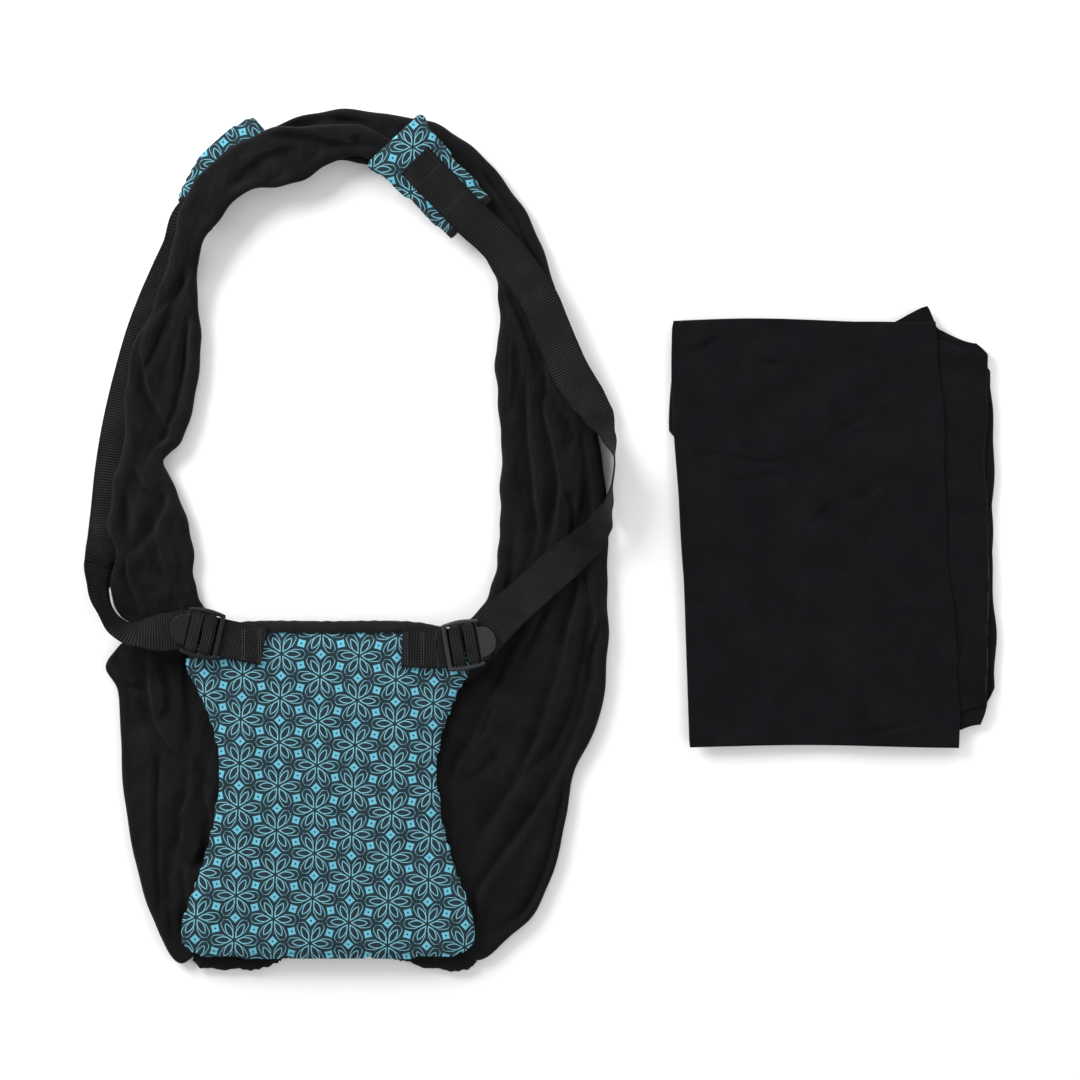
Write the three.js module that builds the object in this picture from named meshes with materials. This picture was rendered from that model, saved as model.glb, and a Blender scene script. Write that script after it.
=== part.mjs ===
// Soft baby carrier with its support sash, laid flat on a table with the printed front panel up.
// Units are millimetres. +Z is up, +Y points from the seat to the shoulders, +X is to the viewer's right.
// The origin is on the table, under the centre of the whole kit.
//
// The carrier is a closed loop. Two gathered knit wings start at the seat, under the front panel. Each runs
// up its own side and over the top to a shoulder pad, and the two cross there. A webbing strap sewn to each
// pad comes back down the other side to a ladder-lock buckle at the top corner of the panel.
import * as THREE from 'three';

// ---- Driving dimensions ----
const GAP = 0.3;                // clearance kept between neighbouring pieces
const WEB_WIDTH = 38;           // 1.5 inch strap webbing
const WEB_THICK = 1.6;

const PANEL = {
  centreX: -211, topY: -92.5, length: 324,
  shoulder: 141, waist: 113, hip: 146,        // half widths, from the top corners down
  lining: 1.5, padding: 5.6, face: 1.7,       // layer thicknesses, from the body side outward
  inset: 4,                                   // the padding stops this far inside the seam
  underside: 12.5,
};
const PANEL_TOP = PANEL.underside + PANEL.lining + PANEL.padding + PANEL.face + 2 * GAP;

const BUCKLE = {
  plate: 4, halfSlot: 20, rail: 4.2,          // thickness, half of the webbing slot, side rail width
  endBar: 5, slotA: 9, barOne: 17.2, slotB: 23.2, barTwo: 31.5, slotC: 35.5,   // where each stops, along
  tabTip: 52, tabHalf: 14,
  height: 28.3,                               // mid-plane of the plate above the table
};

const PAD = { length: 111, wideEnd: 75, narrowEnd: 57, backing: 1, foam: 5, face: 1.1, corner: 6 };

const CASING = { width: 22, height: 9, wall: 1.3, centreZ: 5.2 };
const ELASTIC = { width: 13, thick: 1.5 };
const BAND = { width: 11, height: 9.6 };
const SASH = {
  left: 136, bottom: -207, top: 217, layers: 7, cloth: 0.9, pitch: 1.65,
  rightFolds: [449, 453, 444, 455, 446, 451, 408],   // where each layer's right edge ends, floor upward
};

// ---- Materials ----
const finish = (hex, roughness) => () => new THREE.MeshStandardMaterial({ color: hex, roughness, metalness: 0 });
const knitFinish = finish(0x1c1d1f, 0.95);
const printFinish = finish(0x466874, 0.85);
const liningFinish = finish(0x222326, 0.9);
const foamFinish = finish(0xd8d6cc, 0.95);
const webFinish = finish(0x242426, 0.7);
const plasticFinish = finish(0x38393c, 0.4);
const elasticFinish = finish(0x2a2a2c, 0.8);
const sashFinish = finish(0x1a1b1d, 0.95);

const carrier = new THREE.Group();

// ---- Solids from rings of points ----

// Adds one named mesh. The triangles are turned over if they enclose a negative volume.
function addMesh(name, material, points, faces) {
  let volume = 0;
  for (const [a, b, c] of faces) {
    volume += points[a].dot(new THREE.Vector3().crossVectors(points[b], points[c]));
  }
  const order = volume > 0 ? faces : faces.map(([a, b, c]) => [a, c, b]);
  const geometry = new THREE.BufferGeometry();
  geometry.setAttribute('position', new THREE.Float32BufferAttribute(points.flatMap((p) => p.toArray()), 3));
  geometry.setIndex(order.flat());
  const mesh = new THREE.Mesh(geometry, material());
  mesh.name = name;
  carrier.add(mesh);
  return mesh;
}

// Joins rings of equal point count into a closed body with a fan at each end.
function loft(name, material, rings) {
  const points = rings.flat();
  const count = rings[0].length;
  const faces = [];
  for (let r = 0; r + 1 < rings.length; r++) {
    for (let k = 0; k < count; k++) {
      const a = r * count + k;
      const b = r * count + (k + 1) % count;
      faces.push([a, b, b + count], [a, b + count, a + count]);
    }
  }
  const last = (rings.length - 1) * count;
  for (let k = 1; k + 1 < count; k++) {
    faces.push([0, k + 1, k], [last, last + k, last + k + 1]);
  }
  return addMesh(name, material, points, faces);
}

// A hollow tube: an outer and an inner ring at each station, closed by a rim at both ends.
function loftTube(name, material, outer, inner) {
  const count = outer[0].length;
  const stations = outer.length;
  const points = [...outer.flat(), ...inner.flat()];
  const at = (wall, r, k) => wall * stations * count + r * count + k % count;
  const faces = [];
  for (let k = 0; k < count; k++) {
    for (let r = 0; r + 1 < stations; r++) {
      faces.push([at(0, r, k), at(0, r, k + 1), at(0, r + 1, k + 1)]);
      faces.push([at(0, r, k), at(0, r + 1, k + 1), at(0, r + 1, k)]);
      faces.push([at(1, r, k), at(1, r + 1, k + 1), at(1, r, k + 1)]);
      faces.push([at(1, r, k), at(1, r + 1, k), at(1, r + 1, k + 1)]);
    }
    const e = stations - 1;
    faces.push([at(0, 0, k), at(1, 0, k + 1), at(0, 0, k + 1)]);
    faces.push([at(0, 0, k), at(1, 0, k), at(1, 0, k + 1)]);
    faces.push([at(0, e, k), at(0, e, k + 1), at(1, e, k + 1)]);
    faces.push([at(0, e, k), at(1, e, k + 1), at(1, e, k)]);
  }
  return addMesh(name, material, points, faces);
}

// Smooth interpolation of stations. Columns in threes are points on a smooth curve, and what is left over is
// a plain number, eased from one station to the next.
function resample(rows, steps) {
  const spans = rows.length - 1;
  const pointColumns = Math.floor(rows[0].length / 3) * 3;
  const curves = [];
  for (let c = 0; c < pointColumns; c += 3) {
    const points = rows.map((row) => new THREE.Vector3(row[c], row[c + 1], row[c + 2]));
    curves.push(new THREE.CatmullRomCurve3(points, false, 'centripetal'));
  }
  return Array.from({ length: steps + 1 }, (_, i) => {
    const span = Math.min(Math.floor(i / steps * spans), spans - 1);
    const t = THREE.MathUtils.smoothstep(i / steps * spans - span, 0, 1);
    const numbers = rows[span].slice(pointColumns)
      .map((value, k) => THREE.MathUtils.lerp(value, rows[span + 1][pointColumns + k], t));
    return [...curves.flatMap((curve) => curve.getPoint(i / steps).toArray()), ...numbers];
  });
}

// ---- Webbing ----

// A strap from centre points and unit width directions.
function webbing(name, centres, widths, material = webFinish, width = WEB_WIDTH, thick = WEB_THICK) {
  const rings = centres.map((p, i) => {
    const ahead = centres[Math.min(i + 1, centres.length - 1)];
    const behind = centres[Math.max(i - 1, 0)];
    const along = new THREE.Vector3().subVectors(ahead, behind).normalize();
    const across = widths[i];
    const normal = new THREE.Vector3().crossVectors(along, across).normalize();
    return [[-1, -1], [1, -1], [1, 1], [-1, 1]].map(([u, v]) => p.clone()
      .addScaledVector(across, u * width / 2)
      .addScaledVector(normal, v * thick / 2));
  });
  return loft(name, material, rings);
}

// A strap laid over the ground. Stations are [x, y, z, lean]: lean is how far, in degrees, the edge on the
// outer side of the bend has dropped from level (a negative lean lifts it). side is +1 if the outer side is
// to the left of travel, -1 if it is to the right. Over the last turning steps the width turns to endAcross,
// so that the strap meets its buckle square on while it comes in at a slant.
function laidStrap(name, stations, side, steps, endAcross, turning) {
  const rows = resample(stations, steps);
  const centres = rows.map(([x, y, z, lean]) => {
    const reach = WEB_WIDTH / 2 * Math.abs(Math.sin(THREE.MathUtils.degToRad(lean)));
    return new THREE.Vector3(x, y, Math.max(z, reach + WEB_THICK / 2 + 0.2));
  });
  const widths = rows.map((row, i) => {
    const ahead = centres[Math.min(i + 1, steps)];
    const behind = centres[Math.max(i - 1, 0)];
    const heading = Math.atan2(ahead.y - behind.y, ahead.x - behind.x) + side * Math.PI / 2;
    const lean = THREE.MathUtils.degToRad(row[3]);
    const square = new THREE.Vector3(
      Math.cos(lean) * Math.cos(heading), Math.cos(lean) * Math.sin(heading), -Math.sin(lean));
    const toward = endAcross.clone().multiplyScalar(Math.sign(endAcross.dot(square)));
    const turned = THREE.MathUtils.smoothstep(i, steps - turning, steps);
    return square.lerp(toward, i > steps - turning ? turned : 0).normalize();
  });
  return webbing(name, centres, widths);
}

// ---- Flat sewn pieces ----

// A plate between two heights from a closed outline of [x, y] points.
function plate(name, material, outline, low, high) {
  const shape = new THREE.Shape(outline.map(([x, y]) => new THREE.Vector2(x, y)));
  const geometry = new THREE.ExtrudeGeometry(shape, { depth: high - low, bevelEnabled: false, steps: 1 });
  const mesh = new THREE.Mesh(geometry, material());
  mesh.name = name;
  mesh.position.z = low;
  return mesh;
}

// Points along a smooth line through the given ones.
function smooth(points, steps) {
  const curve = new THREE.SplineCurve(points.map(([x, y]) => new THREE.Vector2(x, y)));
  return curve.getPoints(steps).map((p) => [p.x, p.y]);
}

// The hourglass outline of the front panel, pulled in by inset.
function panelOutline(inset) {
  const { centreX, topY, length, shoulder, waist, hip } = PANEL;
  const side = smooth([
    [shoulder, -30], [shoulder - 11, -63], [waist + 4, -102], [waist, -138], [waist + 4, -180],
    [hip - 19, -222], [hip - 5, -268], [hip, -296], [hip - 5, -length + 13],
  ], 20);
  const top = smooth([[0, 0], [88, -1], [120, -8], [shoulder - 4, -22]], 6);
  const bottom = smooth([[hip - 22, -length + 4], [hip - 62, -length], [0, -length]], 5);
  const right = [...top, ...side, ...bottom];
  const left = right.slice(1, -1).reverse().map(([x, y]) => [-x, y]);
  const scaleX = (shoulder - inset) / shoulder;
  const scaleY = (length - 2 * inset) / length;
  return [...right, ...left].reverse()
    .map(([x, y]) => [centreX + x * scaleX, topY - inset + y * scaleY]);
}

// ---- Front panel: lining, padding and printed face, one on another ----
let level = PANEL.underside;
carrier.add(plate('front_panel_lining', liningFinish, panelOutline(0), level, level + PANEL.lining));
level += PANEL.lining + GAP;
carrier.add(plate('front_panel_padding', foamFinish, panelOutline(PANEL.inset), level, level + PANEL.padding));
level += PANEL.padding + GAP;
carrier.add(plate('front_panel_face', printFinish, panelOutline(0), level, level + PANEL.face));

// The bound top edge of the panel, just above it.
const roundSection = (halfWidth, halfHeight, sides) => Array.from({ length: sides }, (_, k) => {
  const angle = (k + 0.5) / sides * 2 * Math.PI;
  const soften = 0.5;
  return [
    halfWidth * Math.sign(Math.cos(angle)) * Math.abs(Math.cos(angle)) ** soften,
    halfHeight * Math.sign(Math.sin(angle)) * Math.abs(Math.sin(angle)) ** soften,
  ];
});

// Rings of one section along a path that stays level.
function levelRings(path, steps, section) {
  const curve = new THREE.CatmullRomCurve3(path.map((p) => new THREE.Vector3(...p)), false, 'centripetal');
  return Array.from({ length: steps + 1 }, (_, i) => {
    const p = curve.getPoint(i / steps);
    const along = curve.getTangent(i / steps);
    const across = new THREE.Vector3(-along.y, along.x, 0).normalize();
    return section.map(([u, v]) => p.clone().addScaledVector(across, u).add(new THREE.Vector3(0, 0, v)));
  });
}

const bandZ = (PANEL.underside + PANEL_TOP) / 2;
const bandY = PANEL.topY + GAP + BAND.width / 2;
loft('top_band', liningFinish, levelRings([
  [PANEL.centreX - 126, bandY - 8, bandZ], [PANEL.centreX - 88, bandY, bandZ],
  [PANEL.centreX, bandY + 1, bandZ], [PANEL.centreX + 88, bandY, bandZ],
  [PANEL.centreX + 126, bandY - 8, bandZ],
], 16, roundSection(BAND.width / 2, BAND.height / 2, 8)));

// ---- Seat casing and the elastic inside it ----
const casingPath = [
  [-336, -417.5, CASING.centreZ], [-300, -418.5, CASING.centreZ], [PANEL.centreX, -418, CASING.centreZ],
  [-122, -418.5, CASING.centreZ], [-88, -417.5, CASING.centreZ],
];
const casingSteps = 12;
loftTube('seat_casing', knitFinish,
  levelRings(casingPath, casingSteps, roundSection(CASING.width / 2, CASING.height / 2, 12)),
  levelRings(casingPath, casingSteps,
    roundSection(CASING.width / 2 - CASING.wall, CASING.height / 2 - CASING.wall, 12)));
const elasticHalf = [ELASTIC.width / 2, ELASTIC.thick / 2];
loft('seat_elastic', elasticFinish, levelRings(casingPath, casingSteps,
  [[-1, -1], [1, -1], [1, 1], [-1, 1]].map(([u, v]) => [u * elasticHalf[0], v * elasticHalf[1]])));

// ---- Knit wings ----

// A wing is a soft flattened tube. Each station is a line across it:
// [outer x, outer y, underside there, inner x, inner y, underside there, thickness].
function wing(name, stations, steps) {
  const section = roundSection(1, 1, 12);
  const rows = resample(stations, steps);
  loft(name, knitFinish, rows.map(([ox, oy, oz, ix, iy, iz, thick]) => section.map(([u, v]) => {
    const across = (u + 1) / 2;
    return new THREE.Vector3(
      THREE.MathUtils.lerp(ox, ix, across), THREE.MathUtils.lerp(oy, iy, across),
      THREE.MathUtils.lerp(oz, iz, across) + (v + 1) / 2 * thick);
  })));
}

// From the seat, under the panel, round the right side and over the top to the left shoulder pad.
wing('right_wing', [
  [-209, -405, 0, -209, -300, 0, 11],
  [-140, -405, 0, -188, -235, 0, 11.8],
  [-95, -403, 0, -165, -195, 0, 12],
  [-63, -421, 0, -142, -163, 0, 12],
  [-14, -381, 0, -122, -136, 0, 12],
  [18, -322, 0, -104, -112, 0, 12],
  [27, -275, 0, -88, -96, 0, 12.5],
  [46, -215, 0, -90, -88, 0, 12.2],
  [65, -150, 0, -72, -78, 0, 14],
  [69, -90, 0, -52, -56, 0, 16],
  [68, -20, 0, -43, -10, 0, 16],
  [66, 55, 0, -40, 45, 0, 16],
  [59, 105, 0, -40, 95, 0, 16],
  [47, 165, 0, -44, 155, 0, 16],
  [23, 230, 0, -42, 212, 0, 15.5],
  [4, 286, 0, -44, 258, 0, 15],
  [-22, 342, 0, -66, 296, 0, 14],
  [-58, 384, 0, -100, 324, 0, 13.5],
  [-100, 415, 0, -138, 356, 0, 13.5],
  [-150, 426, 0, -172, 372, 0, 13.5],
  [-200, 430, 0, -200, 378, 0, 11.5],
  [-236, 425, 0, -228, 369, 0, 9],
  [-272, 410, 0, -258, 352, 0, 8.6],
  [-312, 376, 0, -290, 328, 0, 8],
], 44);

// From the seat, under the panel, up the left side and over the top to the right shoulder pad.
wing('left_wing', [
  [-213, -405, 0, -213, -300, 0, 11],
  [-285, -405, 0, -236, -235, 0, 11.8],
  [-329, -403, 0, -258, -195, 0, 12],
  [-359, -421, 0, -280, -163, 0, 12],
  [-388, -375, 0, -296, -136, 0, 12],
  [-405, -318, 0, -306, -115, 0, 12],
  [-415, -260, 0, -315, -105, 0, 12],
  [-421, -200, 0, -319, -98, 0, 11.5],
  [-427, -150, 0, -322, -91, 0, 10.5],
  [-422, -116, 0.5, -328, -80, 0, 8.5],
  [-402, -85, 1, -337, -62, 0.5, 7],
  [-424, -50, 3.2, -345, -38, 1, 10.5],
  [-426, -10, 3.2, -344, -14, 2, 14],
  [-430, 32, 3.2, -352, 22, 2.6, 14.5],
  [-424, 72, 3.2, -362, 56, 2.6, 15],
  [-416, 108, 3.2, -364, 86, 2.6, 15],
  [-413, 152, 3.2, -348, 122, 2.6, 15],
  [-406, 196, 3.4, -337, 170, 2.8, 15],
  [-388, 236, 4.5, -337, 214, 3.4, 14.5],
  [-371, 272, 10, -340, 258, 9.5, 13.5],
  [-363, 304, 19.6, -334, 290, 19.2, 12.4],
  [-354, 338, 19.8, -316, 318, 19.6, 12],
  [-328, 371, 19.8, -289, 345, 19.6, 12],
  [-297, 395, 19.8, -262, 349, 19.6, 12],
  [-264, 410, 19.6, -236, 355, 18.6, 12],
  [-232, 412, 17.8, -210, 375, 14.5, 12.8],
  [-198, 414, 14.3, -190, 380, 14.2, 13.5],
  [-168, 409, 14.2, -164, 377, 14.2, 12.6],
  [-138, 392, 14.2, -138, 364, 14.2, 10.5],
  [-112, 371, 14.2, -116, 347, 14.2, 7.4],
], 50);

// ---- Shoulder pads ----

// A pad lies in its own frame: x runs from the wide end to the narrow end, z is up from its underside.
function padFrame(x, y, headingDeg, dropDeg, underside) {
  return new THREE.Matrix4()
    .makeTranslation(x, y, underside)
    .multiply(new THREE.Matrix4().makeRotationZ(THREE.MathUtils.degToRad(headingDeg)))
    .multiply(new THREE.Matrix4().makeRotationY(THREE.MathUtils.degToRad(dropDeg)));
}

// The outline from above. tucked is the share of its half width that a pad keeps on the side that is rolled
// under the wing, and bow is how far the middle of its long sides has moved the other way.
function padOutline(inset, { tucked, bow }) {
  const wide = PAD.wideEnd / 2 - inset;
  const narrow = PAD.narrowEnd / 2 - inset;
  const start = inset;
  const end = PAD.length - inset;
  const c = PAD.corner;
  const half = [[start, wide - c], [start + c * 0.3, wide - c * 0.3], [start + c, wide]];
  for (const share of [0.2, 0.35, 0.5, 0.65, 0.8]) {
    half.push([PAD.length * share, wide + (narrow - wide) * share]);
  }
  half.push([end - c, narrow + 1], [end - c * 0.3, narrow - c * 0.3], [end, narrow - c]);
  const bowed = ([x, y]) => [x, y - bow * Math.sin(Math.PI * x / PAD.length)];
  return [
    ...half.map(([x, y]) => [x, y * tucked]),
    ...half.map(([x, y]) => [x, -y]).reverse(),
  ].map(bowed).reverse();
}

function shoulderPad(prefix, frame, fit) {
  const layers = [
    ['backing', liningFinish, 0, PAD.backing], ['foam', foamFinish, 2.5, PAD.foam],
    ['face', printFinish, 0, PAD.face]];
  let z = 0;
  for (const [part, material, inset, thick] of layers) {
    const holder = new THREE.Group();
    holder.applyMatrix4(frame);
    holder.add(plate(`${prefix}_pad_${part}`, material, padOutline(inset, fit), z, z + thick));
    carrier.add(holder);
    z += thick + GAP;
  }
}

const PAD_TOP = PAD.backing + PAD.foam + PAD.face + 2 * GAP;
const rightPad = padFrame(-146, 398, -45.5, 7.2, 29.2);
const leftPad = padFrame(-260, 393.2, 222.5, 0, 9.3);
shoulderPad('right', rightPad, { tucked: 1, bow: 0 });
shoulderPad('left', leftPad, { tucked: 0.6, bow: 12 });

// A webbing station on a pad, at a distance from its wide end and so far off its middle line.
function onPad(frame, along, aside = 0) {
  const p = new THREE.Vector3(along, aside, PAD_TOP + GAP + WEB_THICK / 2).applyMatrix4(frame);
  return [p.x, p.y, p.z, 0];
}

// ---- Buckles ----

// A buckle lies in its own frame: x runs from the end bar to the thumb tab, z is up from the plate's middle.
const BUCKLE_FRAMES = {
  left: { x: -316, y: -97, heading: 167 },
  right: { x: -95, y: -107.5, heading: 10 },
};

function buckleMatrix({ x, y, heading }) {
  return new THREE.Matrix4().makeTranslation(x, y, BUCKLE.height)
    .multiply(new THREE.Matrix4().makeRotationZ(THREE.MathUtils.degToRad(heading)));
}

function buckle(name, frame) {
  const half = BUCKLE.halfSlot + BUCKLE.rail;
  const tab = Array.from({ length: 9 }, (_, k) => {
    const angle = (k / 8 - 0.5) * Math.PI;
    const reach = BUCKLE.tabTip - BUCKLE.slotC - 4;
    return [BUCKLE.slotC + 4 + reach * Math.cos(angle), BUCKLE.tabHalf * Math.sin(angle)];
  });
  const outline = [[1, -half], [BUCKLE.slotC - 1, -half], [BUCKLE.slotC + 1, -half + 1.5],
    [BUCKLE.slotC + 2, -BUCKLE.tabHalf - 4], ...tab, [BUCKLE.slotC + 2, BUCKLE.tabHalf + 4],
    [BUCKLE.slotC + 1, half - 1.5], [BUCKLE.slotC - 1, half], [1, half], [0, half - 1], [0, 1 - half]];
  const shape = new THREE.Shape(outline.map(([x, y]) => new THREE.Vector2(x, y)));
  // The slots taper in length towards the tab, as moulded ladder buckles do.
  for (const [from, to, shorter] of [[BUCKLE.endBar, BUCKLE.slotA, 0],
    [BUCKLE.barOne, BUCKLE.slotB, 0.2], [BUCKLE.barTwo, BUCKLE.slotC, 0.4]]) {
    const high = BUCKLE.halfSlot - shorter;
    const low = -high;
    const corners = [[from, low], [to, low], [to, high], [from, high]];
    const slot = new THREE.Path(corners.map(([x, y]) => new THREE.Vector2(x, y)));
    shape.holes.push(slot);
  }
  const geometry = new THREE.ExtrudeGeometry(shape, { depth: BUCKLE.plate, bevelEnabled: false });
  geometry.translate(0, 0, -BUCKLE.plate / 2);
  const mesh = new THREE.Mesh(geometry, plasticFinish());
  mesh.name = name;
  mesh.applyMatrix4(buckleMatrix(frame));
  carrier.add(mesh);
}

// Webbing that bends in the buckle's own x-z plane. bends holds [x, z, radius, from, to] arcs in degrees
// and [x, z] points, in the order that the webbing follows them.
function buckleWebbing(name, frame, bends) {
  const matrix = buckleMatrix(frame);
  const across = new THREE.Vector3(0, 1, 0).transformDirection(matrix);
  const arcSteps = 5;
  const path = bends.flatMap((bend) => {
    if (bend.length === 2) {
      return [[bend[0], bend[1]]];
    }
    const [x, z, radius, from, to] = bend;
    return Array.from({ length: arcSteps + 1 }, (_, k) => {
      const angle = THREE.MathUtils.degToRad(from + (to - from) * k / arcSteps);
      return [x + radius * Math.cos(angle), z + radius * Math.sin(angle)];
    });
  });
  const centres = path.map(([x, z]) => new THREE.Vector3(x, 0, z).applyMatrix4(matrix));
  webbing(name, centres, centres.map(() => across));
}

const wrap = GAP + WEB_THICK / 2;                 // from a bar's face to the webbing's middle
const barTop = BUCKLE.plate / 2;
const upper = -barTop - wrap;                     // middle of the run just under the bars
const lower = upper - WEB_THICK - GAP;            // middle of the run under that one
const foldLine = -2;                              // where the anchor webbing bends as the buckle tilts
const wrapEnd = BUCKLE.slotC + 1;                 // where the shoulder strap takes over, under the tab

// Webbing up through one slot, over a bar and down through the next, both ends left under the buckle.
function barWrap(name, frame, barStart, barEnd, startX, endX, startHigh) {
  const r = wrap;
  const turn = lower + r;
  buckleWebbing(name, frame, startHigh ? [
    [startX, upper], [barStart - 2 * wrap, upper],
    [barStart - 2 * wrap, upper + r, r, -90, 0], [barStart, barTop, r, 180, 90],
    [barEnd, barTop, r, 90, 0], [barEnd, turn, r, 0, -90], [endX, lower],
  ] : [
    [startX, upper], [barEnd + 2 * wrap, upper],
    [barEnd + 2 * wrap, upper + r, r, 270, 180], [barEnd, barTop, r, 0, 90],
    [barStart, barTop, r, 90, 180], [barStart, turn, r, 180, 270], [endX, lower],
  ]);
}

for (const [side, frame] of Object.entries(BUCKLE_FRAMES)) {
  buckle(`${side}_buckle`, frame);
  barWrap(`${side}_anchor_wrap`, frame, BUCKLE.slotA, BUCKLE.barOne, foldLine, foldLine, true);
  barWrap(`${side}_strap_wrap`, frame, BUCKLE.slotB, BUCKLE.barTwo, wrapEnd, wrapEnd, false);
}

// The sewn part of each anchor: both layers of webbing as one tab, stitched down on the panel.
function anchorTab(side, frame, endX, endY) {
  const matrix = buckleMatrix(frame);
  const middle = (upper + lower) / 2;
  const thick = 2 * WEB_THICK + GAP;
  const start = new THREE.Vector3(foldLine - GAP, 0, middle).applyMatrix4(matrix);
  const straight = new THREE.Vector3(foldLine - 5, 0, middle).applyMatrix4(matrix);
  const end = new THREE.Vector3(endX, endY, PANEL_TOP + GAP + thick / 2);
  const across = new THREE.Vector3(0, 1, 0).transformDirection(matrix);
  const squareOn = new THREE.Vector3(0, Math.sign(across.y), 0);
  const steps = 6;
  const stations = Array.from({ length: steps + 1 }, (_, i) => i / steps);
  webbing(`${side}_anchor_strap`,
    [start, ...stations.map((t) => straight.clone().lerp(end, t))],
    [across, ...stations.map((t) => across.clone().lerp(squareOn, t).normalize())],
    webFinish, WEB_WIDTH, thick);
}

anchorTab('left', BUCKLE_FRAMES.left, -274, -105.5);
anchorTab('right', BUCKLE_FRAMES.right, -137, -107.5);

// ---- Shoulder straps and their free tails ----

// Where a strap or its tail meets a buckle: the point, and the direction of its width there.
function atBuckle(frame, along, height) {
  const matrix = buckleMatrix(frame);
  const p = new THREE.Vector3(along, 0, height).applyMatrix4(matrix);
  return { station: [p.x, p.y, p.z, 0], across: new THREE.Vector3(0, 1, 0).transformDirection(matrix) };
}

const strapEnd = wrapEnd + GAP;
const intoRight = atBuckle(BUCKLE_FRAMES.right, strapEnd, upper);
laidStrap('right_shoulder_strap', [
  onPad(rightPad, 30), onPad(rightPad, 66), onPad(rightPad, 98), onPad(rightPad, 114),
  [-47, 300, 20, 0], [-29, 280, 17.6, 0], [-13, 259, 17.4, 0], [0, 238, 17.4, 0], [10, 214, 17.4, 0],
  [20, 190, 17.6, 0], [30, 168, 17.8, 0], [43, 147, 18.6, 10], [57, 126, 19.5, 34], [68, 103, 20, 66],
  [74, 81, 20, 88], [72, 57, 20.5, 88], [68.5, 36, 23, 76],
  [61, 16, 27.5, 52], [48, -1, 26.8, 34], [33, -14, 23, 16], [19, -26, 20.6, 4],
  [-10, -52, 20.2, 0], [-36, -76, 23.6, 0],
  intoRight.station,
], 1, 84, intoRight.across, 9);

const intoLeft = atBuckle(BUCKLE_FRAMES.left, strapEnd, upper);
laidStrap('left_shoulder_strap', [
  onPad(leftPad, 24, -8), onPad(leftPad, 64, -9), onPad(leftPad, 98, -6), onPad(leftPad, 117, -4),
  [-357, 293, 11, 0], [-369, 269, 3.5, 0], [-383, 238, 1.1, 0], [-395, 206, 1.1, 0], [-406, 168, 1.1, 0],
  [-418, 118, 1.1, 0], [-426, 70, 1.1, 0], [-430, 32, 1.1, 0], [-433, 0, 4, -12],
  [-438, -26, 13, -40], [-439, -50, 19, -66], [-431, -72, 20, -74], [-417, -88, 22.5, -64],
  [-402, -92.5, 24.4, -52], [-387, -92.5, 24.3, -34], [-373, -91.5, 24.2, -9], intoLeft.station,
], -1, 80, intoLeft.across, 5);

// The free end of each strap comes out of the buckle under the strap itself.
const TAILS = [
  ['left', [-364, -90.6, 20, 0], [-358, -89.8, 21.6, 0]],
  ['right', [-26, -66, 18.6, 0], [-42, -83, 20.8, 0]],
];
for (const [side, tip, middle] of TAILS) {
  const into = atBuckle(BUCKLE_FRAMES[side], strapEnd, lower);
  laidStrap(`${side}_strap_tail`, [tip, middle, into.station], 1, 8, into.across, 6);
}

// ---- Support sash: one long sheet folded back and forth, then stacked ----
function foldedSash() {
  const { left, cloth, pitch, layers, rightFolds } = SASH;
  const centre = [];
  const radius = pitch / 2;
  const turnSteps = 3;
  for (let i = 0; i < layers; i++) {
    const z = cloth / 2 + i * pitch;
    const rightward = i % 2 === 0;
    const right = rightFolds[i] - radius - cloth / 2;
    const start = left + radius + cloth / 2;
    centre.push(rightward ? [start, z] : [Math.min(right, rightFolds[i - 1] - radius - cloth / 2), z]);
    centre.push(rightward ? [i + 1 < layers ? Math.min(right, rightFolds[i + 1] - radius) : right, z]
      : [start, z]);
    if (i + 1 < layers) {
      const [x] = centre[centre.length - 1];
      const out = rightward ? 1 : -1;
      for (let k = 1; k < turnSteps; k++) {
        const angle = -Math.PI / 2 + Math.PI * k / turnSteps;
        centre.push([x + out * radius * Math.cos(angle), z + radius + radius * Math.sin(angle)]);
      }
      const next = centre[centre.length - 1];
      next[0] = x + out * radius * Math.cos(Math.PI / 2 - Math.PI / turnSteps);
    }
  }
  const side = (sign) => centre.map(([x, z], i) => {
    const [ax, az] = centre[Math.min(i + 1, centre.length - 1)];
    const [bx, bz] = centre[Math.max(i - 1, 0)];
    const length = Math.hypot(ax - bx, az - bz);
    return [x - sign * (az - bz) / length * cloth / 2, z + sign * (ax - bx) / length * cloth / 2];
  });
  const outline = [...side(-1), ...side(1).reverse()];
  const shape = new THREE.Shape(outline.map(([x, z]) => new THREE.Vector2(x, z)));
  const geometry = new THREE.ExtrudeGeometry(shape, { depth: SASH.top - SASH.bottom, bevelEnabled: false });
  const mesh = new THREE.Mesh(geometry, sashFinish());
  mesh.name = 'support_sash';
  mesh.rotation.x = Math.PI / 2;
  mesh.position.y = SASH.top;
  carrier.add(mesh);
}
foldedSash();

export default carrier;
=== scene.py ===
"""Looks of the soft baby carrier and its folded support sash, laid flat on a pale table.

Everything is in metres in the CAD frame: +Z up, +Y from the seat to the shoulders.
"""

import math

import bmesh
import bpy
import numpy as np
from mathutils import Matrix, Vector
from mathutils.bvhtree import BVHTree


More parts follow.
